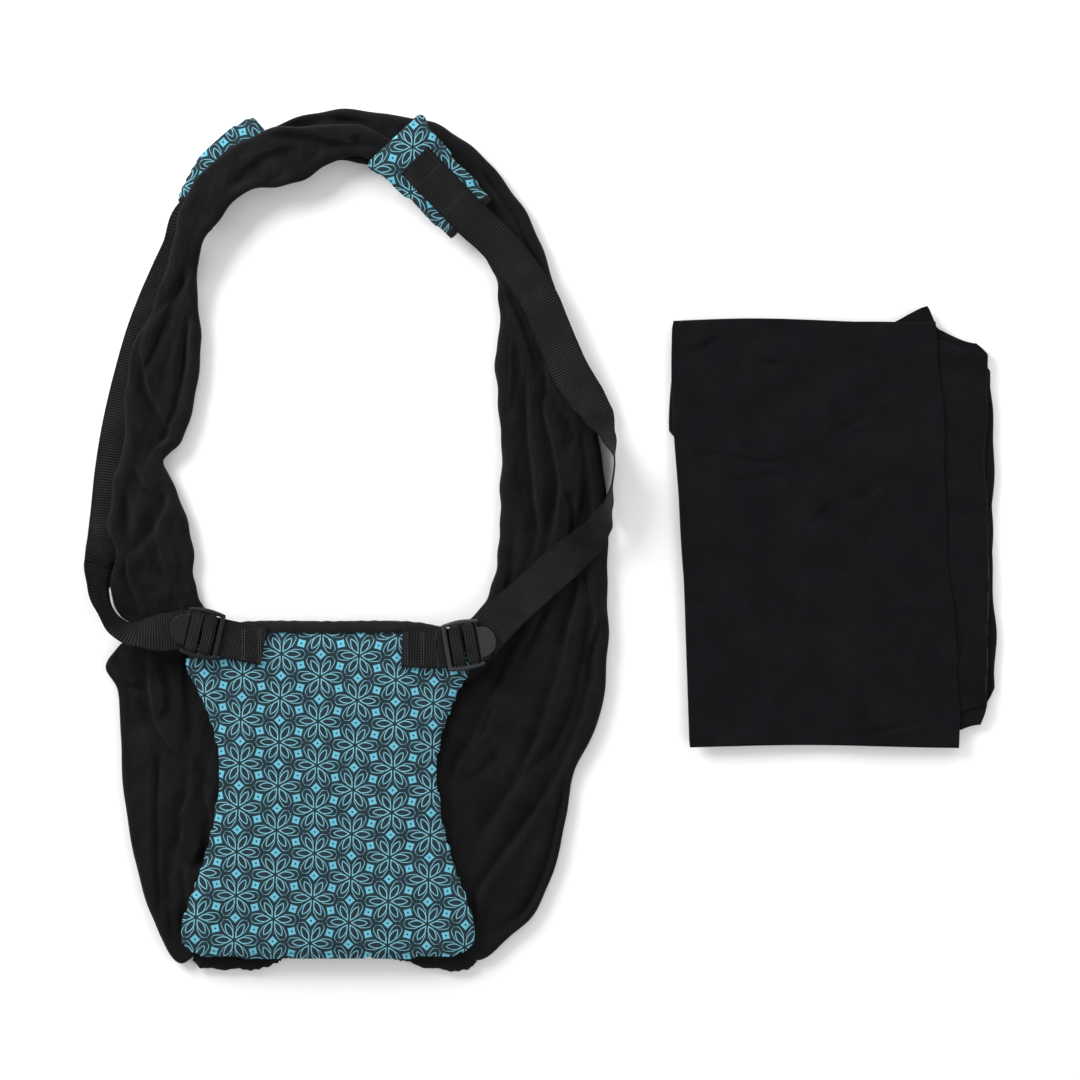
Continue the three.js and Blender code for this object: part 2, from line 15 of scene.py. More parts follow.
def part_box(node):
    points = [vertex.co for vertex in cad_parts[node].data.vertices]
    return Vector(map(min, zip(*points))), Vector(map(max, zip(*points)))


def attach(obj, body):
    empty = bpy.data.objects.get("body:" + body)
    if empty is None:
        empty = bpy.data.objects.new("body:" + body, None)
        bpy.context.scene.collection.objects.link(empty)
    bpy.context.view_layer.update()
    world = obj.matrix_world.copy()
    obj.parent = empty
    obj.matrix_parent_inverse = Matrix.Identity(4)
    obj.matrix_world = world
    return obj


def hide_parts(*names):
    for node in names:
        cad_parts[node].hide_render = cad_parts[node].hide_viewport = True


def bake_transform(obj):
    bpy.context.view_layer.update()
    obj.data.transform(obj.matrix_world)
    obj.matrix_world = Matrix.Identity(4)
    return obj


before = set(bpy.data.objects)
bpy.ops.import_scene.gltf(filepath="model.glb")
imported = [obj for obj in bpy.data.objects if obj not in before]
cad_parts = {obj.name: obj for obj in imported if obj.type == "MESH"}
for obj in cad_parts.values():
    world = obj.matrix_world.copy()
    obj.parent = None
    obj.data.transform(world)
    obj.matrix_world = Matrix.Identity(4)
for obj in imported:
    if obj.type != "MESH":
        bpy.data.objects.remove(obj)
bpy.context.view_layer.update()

MM = 0.001
GAP = 0.3 * MM

# ---- Sizes shared with the CAD part ----
WEB_WIDTH = 38 * MM
WEB_THICK = 1.6 * MM
RIB = 2.6 * MM                  # from one crosswise rib of the webbing to the next
PANEL_CENTRE_X = -211 * MM
PANEL_TOP_Y = -92.5 * MM
PANEL_LOW, PANEL_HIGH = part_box("front_panel_lining")[0][2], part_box("front_panel_face")[1][2]
BUCKLE_HEIGHT = 28.3 * MM
BUCKLES = {"left": (-316 * MM, -97 * MM, 167), "right": (-95 * MM, -107.5 * MM, 10)}
ANCHOR_ENDS = {"left": (-274 * MM, -105.5 * MM), "right": (-137 * MM, -107.5 * MM)}
PAD_LENGTH, PAD_WIDE, PAD_NARROW, PAD_THICK = 111 * MM, 75 * MM, 57 * MM, 7.7 * MM

# ---- Colours, linear ----
KNIT = (0.0045, 0.0046, 0.0052)
SASH = (0.0034, 0.0039, 0.0049)
WEBBING = (0.0066, 0.0067, 0.0069)
LINING = (0.0095, 0.0097, 0.0105)
PRINT_GROUND = (0.0120, 0.0255, 0.0335)
PRINT_LINE = (0.20, 0.49, 0.59)
PRINT_SQUARE = (0.135, 0.46, 0.60)


# =====================================================================================
# Node maths
# =====================================================================================
class Graph:
    """A material's node tree, with short ways to add nodes."""

    def __init__(self, name):
        self.material = bpy.data.materials.new(name)
        self.material.use_nodes = True
        self.tree = self.material.node_tree
        self.tree.nodes.clear()
        output = self.tree.nodes.new("ShaderNodeOutputMaterial")
        self.shader = self.tree.nodes.new("ShaderNodeBsdfPrincipled")
        self.tree.links.new(self.shader.outputs[0], output.inputs[0])

    def put(self, socket, value):
        if isinstance(value, Field):
            self.tree.links.new(value.socket, socket)
        else:
            socket.default_value = value

    def math(self, operation, *values):
        node = self.tree.nodes.new("ShaderNodeMath")
        node.operation = operation
        for socket, value in zip(node.inputs, values):
            self.put(socket, value)
        return Field(self, node.outputs[0])

    def attribute(self, name):
        """The x, y and z of a vector stored on the mesh's points, and the vector itself."""
        node = self.tree.nodes.new("ShaderNodeAttribute")
        node.attribute_name = name
        split = self.tree.nodes.new("ShaderNodeSeparateXYZ")
        self.tree.links.new(node.outputs["Vector"], split.inputs[0])
        return [Field(self, socket) for socket in split.outputs], Field(self, node.outputs["Vector"])

    def noise(self, vector, scale, detail=2.0, roughness=0.5):
        node = self.tree.nodes.new("ShaderNodeTexNoise")
        self.put(node.inputs["Vector"], vector)
        node.inputs["Scale"].default_value = scale
        node.inputs["Detail"].default_value = detail
        node.inputs["Roughness"].default_value = roughness
        return Field(self, node.outputs[0])

    def mix(self, factor, first, second):
        node = self.tree.nodes.new("ShaderNodeMix")
        node.data_type = "RGBA"
        self.put(node.inputs[0], factor)
        for socket, colour in ((node.inputs[6], first), (node.inputs[7], second)):
            self.put(socket, colour if isinstance(colour, Field) else (*colour, 1))
        return Field(self, node.outputs[2])

    def bump(self, height, distance, strength=1.0):
        node = self.tree.nodes.new("ShaderNodeBump")
        node.inputs["Distance"].default_value = distance
        node.inputs["Strength"].default_value = strength
        self.put(node.inputs["Height"], height)
        self.tree.links.new(node.outputs[0], self.shader.inputs["Normal"])

    def finish(self, colour, roughness, specular=0.3, sheen=0.0, sheen_rough=0.5, sheen_tint=(1, 1, 1)):
        self.put(self.shader.inputs["Base Color"], colour)
        self.put(self.shader.inputs["Roughness"], roughness)
        self.put(self.shader.inputs["Specular IOR Level"], specular)
        self.shader.inputs["Sheen Weight"].default_value = sheen
        self.shader.inputs["Sheen Roughness"].default_value = sheen_rough
        self.shader.inputs["Sheen Tint"].default_value = (*sheen_tint, 1)
        return self.material


class Field:
    """A number that varies over a surface. Arithmetic on it adds Math nodes."""

    def __init__(self, graph, socket):
        self.graph = graph
        self.socket = socket

    def _do(self, operation, *values):
        return self.graph.math(operation, *values)

    def __add__(self, other):
        return self._do("ADD", self, other)

    def __radd__(self, other):
        return self._do("ADD", other, self)

    def __sub__(self, other):
        return self._do("SUBTRACT", self, other)

    def __rsub__(self, other):
        return self._do("SUBTRACT", other, self)

    def __mul__(self, other):
        return self._do("MULTIPLY", self, other)

    def __rmul__(self, other):
        return self._do("MULTIPLY", other, self)

    def __truediv__(self, other):
        return self._do("DIVIDE", self, other)

    def __pow__(self, other):
        return self._do("POWER", self, other)

    def abs(self):
        return self._do("ABSOLUTE", self)

    def sin(self):
        return self._do("SINE", self)

    def cos(self):
        return self._do("COSINE", self)

    def round(self):
        return self._do("ROUND", self)

    def sqrt(self):
        return self._do("SQRT", self)

    def above(self, other):
        return self._do("GREATER_THAN", self, other)

    def min(self, other):
        return self._do("MINIMUM", self, other)

    def max(self, other):
        return self._do("MAXIMUM", self, other)

    def ramp(self, low, high):
        """0 at low, 1 at high, smooth between."""
        node = self.graph.tree.nodes.new("ShaderNodeMapRange")
        node.interpolation_type = "SMOOTHSTEP"
        self.graph.put(node.inputs["Value"], self)
        node.inputs["From Min"].default_value = low
        node.inputs["From Max"].default_value = high
        return Field(self.graph, node.outputs[0])


def scaled(colour, factor):
    return tuple(c * factor for c in colour)


def knit_material(name, colour, sheen, streak=0.0, mottle=0.07):
    """Fine jersey: rows of small loops, cloudy colour, and a soft sheen."""
    g = Graph(name)
    (across, along, _), place = g.attribute("cloth")
    loop = 1.15 * MM
    column = (across * (2 * math.pi / loop)).sin().abs()
    lean = (along * (2 * math.pi / (loop * 0.8)) + column * 1.6).sin()
    cloud = g.noise(place, 38.0, 3.0, 0.6)
    grain = g.noise(place, 900.0, 2.0, 0.7)
    shade = cloud * 0.45 + grain * 0.35 + lean * 0.05
    if streak:
        shade = shade + g.noise(place, 210.0, 1.0) * streak
    tone = g.mix(shade.ramp(0.15, 0.75), scaled(colour, 0.66), scaled(colour, 1.5))
    g.bump(lean * 0.5 + column * 0.5 + grain * 0.8, 0.00016)
    lustre = g.noise(place, 24.0, 4.0, 0.65).ramp(0.3, 0.7) * mottle + grain.ramp(0.3, 0.8) * 0.05 + 0.05
    return g.finish(tone, grain.ramp(0.2, 0.9) * 0.12 + 0.84, lustre, sheen, 0.42, (0.92, 0.95, 1.0))


def webbing_material(name, colour, sheen=0.0):
    """Woven polyester webbing: heavy ribs across, fine warp threads along, a tight edge on each side."""
    g = Graph(name)
    (across, along, _), place = g.attribute("cloth")
    warp = (across * (2 * math.pi / (1.05 * MM))).sin()
    crest = (along * (math.pi / RIB)).sin().abs().ramp(0.3, 0.95)
    edge = across.abs().ramp(WEB_WIDTH * 0.43, WEB_WIDTH * 0.455)
    cloud = g.noise(place, 60.0, 3.0, 0.6)
    grain = g.noise(place, 1500.0, 2.0, 0.6)
    worn = g.noise(place, 26.0, 3.0, 0.6).ramp(0.35, 0.7)
    # The rib crests are painted lighter: a painted highlight on every rib, and partly wear, as the worn
    # noise makes them lighter still.
    shade = crest * (worn * 0.2 + 0.25) + warp * 0.06 + cloud * 0.25 + grain * 0.3 + 0.1 - edge * 0.12
    tone = g.mix(shade.ramp(0.2, 1.0), scaled(colour, 0.3), scaled(colour, 2.1))
    g.bump(warp * 0.4 + crest * 0.8 + grain * 0.5, 0.0002)
    roughness = grain.ramp(0.1, 0.9) * 0.2 + 0.56
    return g.finish(tone, roughness, crest * (worn * 0.06 + 0.06) + 0.06, sheen, 0.35)


def lining_material(name, colour, specular=0.25):
    """Plain close-woven cotton."""
    g = Graph(name)
    (across, along, _), place = g.attribute("cloth")
    thread = 2 * math.pi / (0.9 * MM)
    weave = (across * thread).sin() * (along * thread).sin()
    cloud = g.noise(place, 45.0, 3.0, 0.6)
    grain = g.noise(place, 1100.0, 2.0, 0.6)
    tone = g.mix((cloud * 0.5 + grain * 0.5).ramp(0.2, 0.8), scaled(colour, 0.7), scaled(colour, 1.45))
    g.bump(weave * 0.6 + grain * 0.6, 0.00014)
    return g.finish(tone, grain.ramp(0.1, 0.9) * 0.15 + 0.76, specular, specular * 0.4, 0.5)


def print_material(name, origin=(0.0, 0.0), turn=0.0):
    """Printed cotton: outlined six-petal flowers on a triangular lattice, with a small square between each
    two neighbours. origin and turn place the pattern in the piece's own cloth coordinates."""
    g = Graph(name)
    (cloth_x, cloth_y, _), place = g.attribute("cloth")
    pitch = 44.0
    column = pitch * math.sqrt(3) / 2
    pull = g.noise(place, 7.0, 1.0) - 0.5
    wobble = (g.noise(place, 70.0, 1.0) - 0.5) * 0.7
    px = (cloth_x - origin[0]) / MM + wobble + pull * 9.0
    py = (cloth_y - origin[1]) / MM - wobble + pull * 6.0
    c, s = math.cos(turn), math.sin(turn)
    x = px * c + py * s
    y = py * c - px * s

    def cell(dx, dy):
        u, v = x - dx, y - dy
        return u - (u / (2 * column)).round() * (2 * column), v - (v / pitch).round() * pitch

    ax, ay = cell(0.0, 0.0)
    bx, by = cell(column, pitch / 2)
    second = (ax * ax + ay * ay).above(bx * bx + by * by)
    lx = ax + (bx - ax) * second
    ly = ay + (by - ay) * second
    radius = (lx * lx + ly * ly).sqrt()
    angle = g.math("ARCTAN2", ly, lx)
    sixth = math.pi / 3
    fold = angle - (angle / sixth).round() * sixth
    along, aside = radius * fold.cos(), (radius * fold.sin()).abs()

    def petal(start, end, half_width, blunt, fullness):
        """Below 0 inside a petal from start to end along its middle, about in millimetres."""
        t = ((along - (start + end) / 2) / ((end - start) / 2)).abs().min(1.0)
        width = (1.0 - t ** blunt) ** fullness * half_width
        narrow = ((along - start) * 0.56).max(0.0)
        outside = (along - end).max(0.0) + (start - along).max(0.0)
        return aside - width.min(narrow) + outside

    def line(distance, half):
        return 1.0 - distance.abs().ramp(half * 0.55, half * 1.3)

    # The outer outline bulges into three small lobes at its tip.
    lobes = (aside * 1.45).cos() * (along - 19.0).max(0.0) * 0.12
    outer = petal(3.2, 22.5, 4.8, 4.5, 0.5) - lobes
    leaf = petal(2.1, 18.6, 3.2, 2.2, 0.85)
    flower = (line(outer, 0.37) * 0.9).max(line(leaf + 0.3, 0.5))

    shifted = angle - sixth / 2
    between = shifted - (shifted / sixth).round() * sixth
    sx = (radius * between.cos() - pitch / 2).abs()
    sy = (radius * between.sin()).abs()
    # A square with its corners along and across the line between two flowers, its sides drawn in a little.
    star = (sx ** 0.9 + sy ** 0.9) ** 1.11
    square = 1.0 - star.ramp(4.9, 5.5)
    dot = 1.0 - (sx * sx + sy * sy).sqrt().ramp(0.75, 1.25)
    filled = square * (1.0 - dot)
    ink = flower.max(filled)

    thread = 2 * math.pi / (0.8 * MM)
    weave = (cloth_x * thread).sin() * (cloth_y * thread).sin()
    cloud = g.noise(place, 55.0, 3.0, 0.6)
    grain = g.noise(place, 1300.0, 2.0, 0.6)
    patchy = (cloud * 0.6 + grain * 0.5).ramp(0.25, 0.85)
    ground = g.mix(patchy, scaled(PRINT_GROUND, 0.75), scaled(PRINT_GROUND, 1.35))
    colour = g.mix(filled, PRINT_LINE, PRINT_SQUARE)
    drawn = g.mix(patchy, colour, g.mix(0.22, colour, (0.08, 0.2, 0.26)))
    g.bump(weave * 0.6 + grain * 0.4, 0.00014)
    return g.finish(g.mix(ink, ground, drawn), grain.ramp(0.1, 0.9) * 0.12 + 0.78, 0.16, 0.03, 0.5)


def plastic_material(name, colour, roughness, wear, specular):
    """Moulded acetal: fine eggshell texture, a little lighter where it has rubbed."""
    g = Graph(name)
    _, place = g.attribute("cloth")
    texture = g.noise(place, 1700.0, 3.0, 0.6)
    scuff = g.noise(place, 95.0, 4.0, 0.7).ramp(0.56, 0.74)
    tone = g.mix(scuff * wear, colour, scaled(colour, 2.0))
    g.bump(texture, 0.00008)
    return g.finish(tone, texture.ramp(0.2, 0.8) * 0.1 + scuff * 0.12 + roughness, specular)


def thread_material(name, colour):
    g = Graph(name)
    _, place = g.attribute("cloth")
    twist = (place_sum(g, place) * (2 * math.pi / (0.6 * MM))).sin()
    g.bump(twist, 0.00008)
    # The colour is painted lighter on the twist's ridges and darker in its grooves: painted shade along the
    # twist.
    return g.finish(g.mix(twist.ramp(-1, 1), scaled(colour, 0.7), scaled(colour, 1.25)), 0.5, 0.4, 0.1, 0.4)


def place_sum(g, place):
    node = g.tree.nodes.new("ShaderNodeSeparateXYZ")
    g.tree.links.new(place.socket, node.inputs[0])
    x, y, z = [Field(g, socket) for socket in node.outputs]
    return x + y + z


MATERIALS = {
    "knit": knit_material("knit", KNIT, 0.045, 0.1),
    "casing": knit_material("casing_knit", scaled(KNIT, 1.12), 0.045, 0.1),
    "sash": knit_material("sash_knit", SASH, 0.045, mottle=0.045),
    "webbing": webbing_material("webbing", WEBBING),
    "lining": lining_material("lining", LINING),
    "hem": lining_material("hem", scaled(LINING, 0.7), 0.14),
    "print": print_material("print", (-259.5 * MM, -201 * MM), math.radians(-1.9)),
    "left_plastic": plastic_material("left_plastic", (0.0075, 0.0076, 0.008), 0.34, 0.35, 0.2),
    "right_plastic": plastic_material("right_plastic", (0.0185, 0.0192, 0.0208), 0.38, 0.3, 0.3),
    "thread": thread_material("thread", (0.011, 0.011, 0.0115)),
    "light_thread": thread_material("light_thread", (0.05, 0.05, 0.052)),
}


# =====================================================================================
# Meshes
# =====================================================================================
def make_mesh(name, points, faces, materials, cloth=None, face_material=None, smooth=True):
    """One object from points and faces. cloth is each point's place in the cloth, for its material."""
    mesh = bpy.data.meshes.new(name)
    mesh.from_pydata([tuple(p) for p in np.asarray(points, float)], [], [tuple(map(int, f)) for f in faces])
    mesh.update()
    for key in materials:
        mesh.materials.append(MATERIALS[key])
    if face_material is not None:
        mesh.polygons.foreach_set("material_index", np.asarray(face_material, np.int32))
    if cloth is not None:
        set_cloth(mesh, cloth)
    mesh.polygons.foreach_set("use_smooth", [smooth] * len(mesh.polygons))
    obj = bpy.data.objects.new(name, mesh)
    bpy.context.scene.collection.objects.link(obj)
    return obj


def set_cloth(mesh, cloth):
    layer = mesh.attributes.get("cloth") or mesh.attributes.new("cloth", "FLOAT_VECTOR", "POINT")
    layer.data.foreach_set("vector", np.asarray(cloth, np.float32).ravel())


def positions(mesh):
    co = np.empty(len(mesh.vertices) * 3, np.float32)
    mesh.vertices.foreach_get("co", co)
    return co.reshape(-1, 3).astype(float)


def set_positions(mesh, points):
    mesh.vertices.foreach_set("co", np.asarray(points, np.float32).ravel())
    mesh.update()


def apply_modifiers(obj):
    """Makes what the modifiers show the real mesh, and clears them."""
    graph = bpy.context.evaluated_depsgraph_get()
    mesh = bpy.data.meshes.new_from_object(obj.evaluated_get(graph), depsgraph=graph)
    obj.modifiers.clear()
    obj.data = mesh
    return obj


def thicken(obj, thickness):
    """Gives a sheet its cloth thickness, inward from the surface made."""
    modifier = obj.modifiers.new("cloth", "SOLIDIFY")
    modifier.thickness = thickness
    modifier.offset = -1.0
    modifier.use_even_offset = False
    return apply_modifiers(obj)


def ring_faces(rings, count, closed_ring=True):
    """Quads between successive rings of count points."""
    faces = []
    spans = count if closed_ring else count - 1
    for r in range(rings - 1):
        for k in range(spans):
            a, b = r * count + k, r * count + (k + 1) % count
            faces.append((a, b, b + count, a + count))
    return faces


def tube(name, rings, materials, cloth, caps=True):
    """A closed body from rings of points: an array of stations by points by xyz."""
    rings = np.asarray(rings, float)
    stations, count = rings.shape[:2]
    faces = ring_faces(stations, count)
    if caps:
        faces.append(tuple(reversed(range(count))))
        faces.append(tuple(range((stations - 1) * count, stations * count)))
    obj = make_mesh(name, rings.reshape(-1, 3), faces, materials, np.asarray(cloth).reshape(-1, 3))
    face_out(obj)
    return obj


def face_out(obj):
    bm = bmesh.new()
    bm.from_mesh(obj.data)
    bmesh.ops.recalc_face_normals(bm, faces=bm.faces)
    bm.to_mesh(obj.data)
    bm.free()


def catmull(rows, samples_per_span=12):
    """A smooth centripetal curve through the rows' points. Further columns are eased in between."""
    rows = np.asarray(rows, float)
    points = rows[:, :3]
    padded = np.vstack([2 * points[0] - points[1], points, 2 * points[-1] - points[-2]])
    out = []
    for i in range(len(points) - 1):
        p = padded[i:i + 4]
        knots = np.concatenate([[0], np.cumsum(np.sqrt(np.linalg.norm(np.diff(p, axis=0), axis=1)) + 1e-9)])
        last = i == len(points) - 2
        for step in range(samples_per_span + (1 if last else 0)):
            share = step / samples_per_span
            t = knots[1] + (knots[2] - knots[1]) * share
            a = [((knots[j + 1] - t) * p[j] + (t - knots[j]) * p[j + 1]) / (knots[j + 1] - knots[j])
                 for j in range(3)]
            b = [((knots[j + 2] - t) * a[j] + (t - knots[j]) * a[j + 1]) / (knots[j + 2] - knots[j])
                 for j in range(2)]
            point = ((knots[2] - t) * b[0] + (t - knots[1]) * b[1]) / (knots[2] - knots[1])
            eased = share * share * (3 - 2 * share)
            out.append(np.concatenate([point, rows[i, 3:] * (1 - eased) + rows[i + 1, 3:] * eased]))
    return np.array(out)


def evenly(curve, spacing, measure=None):
    """The same curve with equal steps of about spacing."""
    measure = curve[:, :3] if measure is None else measure
    length = np.concatenate([[0], np.cumsum(np.linalg.norm(np.diff(measure, axis=0), axis=1))])
    count = max(2, int(round(length[-1] / spacing)) + 1)
    at = np.linspace(0, length[-1], count)
    return np.stack([np.interp(at, length, curve[:, c]) for c in range(curve.shape[1])], axis=1), at


def unit(v):
    return v / np.maximum(np.linalg.norm(v, axis=-1, keepdims=True), 1e-12)


def smoothstep(low, high, value):
    t = np.clip((value - low) / (high - low), 0, 1)
    return t * t * (3 - 2 * t)


def waves(x, y, table):
    """A sum of sines of x and y in metres. Each row is (size, wavelength x, wavelength y, phase)."""
    total = np.zeros_like(x)
    for size, wave_x, wave_y, phase in table:
        total += size * np.sin(2 * math.pi * (x / wave_x + y / wave_y) + phase)
    return total


# =====================================================================================
# Knit wings: a folded, gathered sheet with given creases
# =====================================================================================
def crease_field(x, y, creases):
    """How far the cloth drops at each point, in metres. A crease is (depth, width, side, points), with depth
    and width in millimetres: a valley along the points with a steep bank on one side."""
    drop = np.zeros_like(x)
    ridge = np.zeros_like(x)
    for depth, width, side, points in creases:
        line = catmull([(px * MM, py * MM, 0) for px, py in points], 5)[:, :2]
        length = np.concatenate([[0], np.cumsum(np.linalg.norm(np.diff(line, axis=0), axis=1))])
        best = np.full(x.shape, 1e9)
        signed = np.zeros_like(x)
        place = np.zeros_like(x)
        for i in range(len(line) - 1):
            a, d = line[i], line[i + 1] - line[i]
            span = d @ d
            t = np.clip(((x - a[0]) * d[0] + (y - a[1]) * d[1]) / span, 0, 1)
            ex, ey = x - a[0] - t * d[0], y - a[1] - t * d[1]
            distance = np.hypot(ex, ey)
            nearer = distance < best
            turn = np.sign(d[0] * ey - d[1] * ex)
            best = np.where(nearer, distance, best)
            signed = np.where(nearer, turn * distance, signed)
            place = np.where(nearer, (length[i] + t * (length[i + 1] - length[i])) / length[-1], place)
        strength = smoothstep(0, 0.22, place) * smoothstep(1, 0.74, place)
        strength = strength * (0.85 + 0.15 * np.sin(place * 9 + depth))
        s = signed * side / (width * MM)
        steep = np.exp(-(s / 0.6) ** 2) * (s > 0) + np.exp(-(s / 1.7) ** 2) * (s <= 0)
        bank = np.exp(-((s - 2.0) / 1.3) ** 2)
        drop = drop + depth * MM * strength * steep * np.exp(-np.maximum(np.abs(s) - 4, 0))
        ridge = ridge + 0.34 * depth * MM * strength * bank
    return 0.0115 * np.tanh(drop / 0.0115), ridge


def wing(name, stations, creases, spacing, wave_table, node):
    """The sheet is folded round on itself: over the top, round both rolled edges and flat underneath. Each
    station is an outer and an inner [x, y, underside] and a thickness, in millimetres."""
    rows = np.asarray(stations, float) * MM
    outer = catmull(np.hstack([rows[:, 0:3], rows[:, 6:7]]), 14)
    inner = catmull(np.hstack([rows[:, 3:6], rows[:, 6:7]]), 14)
    both = np.hstack([outer[:, :3], inner[:, :3], outer[:, 3:4]])
    both, along = evenly(both, spacing, (both[:, 0:3] + both[:, 3:6]) / 2)
    outer, inner, thick = both[:, 0:3], both[:, 3:6], both[:, 6]
    span = along[-1]
    # The sheet is sewn flat at both ends, so the roll thins out there.
    thick = 0.0032 + (thick - 0.0032) * smoothstep(0, 0.02, along) * smoothstep(span, span - 0.016, along)
    rim = 0.0011 * np.sin(along / 0.0135) * np.sin(along / 0.041 + 0.6) + 0.0006 * np.sin(along / 0.0062 + 1)
    across = unit(np.column_stack([(inner - outer)[:, :2], np.zeros(len(outer))]))
    outer = outer + across * (0.0009 + rim)[:, None]
    inner = inner - across * (0.0009 + rim[::-1])[:, None]
    top_count, roll_count, low_count = 64, 9, 16
    width = np.linalg.norm((inner - outer)[:, :2], axis=1)
    roll = np.minimum(thick * 0.62, width * 0.3)
    rings = []
    for k in range(roll_count):
        angle = math.pi / 2 + math.pi * (k + 1) / (roll_count + 1)
        rings.append(("outer", angle))
    for k in range(low_count):
        rings.append(("low", (k + 0.5) / low_count))
    for k in range(roll_count):
        angle = -math.pi / 2 + math.pi * (k + 1) / (roll_count + 1)
        rings.append(("inner", angle))
    for k in range(top_count):
        rings.append(("top", 1 - (k + 0.5) / top_count))
    points = np.zeros((len(outer), len(rings), 3))
    on_top = np.zeros((len(outer), len(rings)))
    for k, (part, value) in enumerate(rings):
        if part in ("outer", "inner"):
            from_outer = roll * (1 + math.cos(value))
            from_inner = width - roll * (1 - math.cos(value))
            share = (from_outer if part == "outer" else from_inner) / width
            height = thick * (1 + math.sin(value)) / 2
            on_top[:, k] = max(0.0, math.sin(value)) ** 2 * 0.55
        else:
            share = (roll + (width - 2 * roll) * value) / width
            height = thick if part == "top" else 0 * thick
            if part == "top":
                from_edge = np.minimum(share, 1 - share) * width
                on_top[:, k] = 0.55 + 0.45 * smoothstep(0, 0.007, from_edge - roll)
        points[:, k] = outer + (inner - outer) * share[:, None]
        points[:, k, 2] += height
    x, y = points[..., 0], points[..., 1]
    drop, ridge = crease_field(x, y, creases)
    soft = 0.0016 + waves(x, y, wave_table)
    limit = np.maximum(thick - 0.0022, 0.0004)[:, None]
    lowered = np.clip(drop + soft - ridge, 0, None)
    lowered = limit * np.tanh(lowered / limit)
    points[..., 2] -= lowered * on_top
    girth = np.concatenate([np.zeros((len(outer), 1)),
                            np.cumsum(np.linalg.norm(np.diff(points, axis=1), axis=2), axis=1)], axis=1)
    cloth = np.stack([girth, np.repeat(along[:, None], len(rings), 1), 0 * girth], axis=2)
    obj = tube(name, points, ["knit"], cloth, caps=False)
    thicken(obj, 0.8 * MM)
    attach(obj, "carrier")
    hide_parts(node)
    return obj


RIGHT_STATIONS = [
    (-209, -405, 0, -209, -300, 0, 11),
    (-140, -405, 0, -188, -235, 0, 11.8),
    (-95, -403, 0, -165, -195, 0, 12),
    (-63, -421, 0, -142, -163, 0, 12),
    (-34, -402, 0, -128, -146, 0, 12),
    (-8, -376, 0, -119, -132, 0, 12),
    (9, -344, 0, -110, -120, 0, 12),
    (20, -311, 0, -102, -110, 0, 12),
    (26, -279, 0, -97, -99, 0, 12),
    (36, -232, 0, -92, -90, 0, 12.2),
    (58, -182, 0, -80, -83, 0, 13),
    (65, -150, 0, -70, -77, 0, 14),
    (69, -98, 0, -53, -58, 0, 15.6),
    (68, -20, 0, -43, -10, 0, 16),
    (66, 55, 0, -40, 45, 0, 16),
    (60, 102, 0, -40, 95, 0, 16),
    (49, 160, 0, -44, 155, 0, 16),
    (35, 190, 0, -45, 180, 0, 15.8),
    (20, 232, 0, -42, 212, 0, 15.5),
    (14, 255, 0, -42, 236, 0, 15.2),
    (1, 298, 0, -46, 264, 0, 14.8),
    (-22, 342, 0, -66, 296, 0, 14),
    (-58, 384, 0, -100, 324, 0, 13.5),
    (-100, 415, 0, -138, 356, 0, 13.5),
    (-150, 426, 0, -172, 372, 0, 13.5),
    (-200, 430, 0, -200, 378, 0, 11.5),
    (-236, 425, 0, -229, 373, 0, 9),
    (-272, 410, 0, -260, 365, 0, 8.6),
    (-312, 376, 0, -298, 350, 0, 8),
]

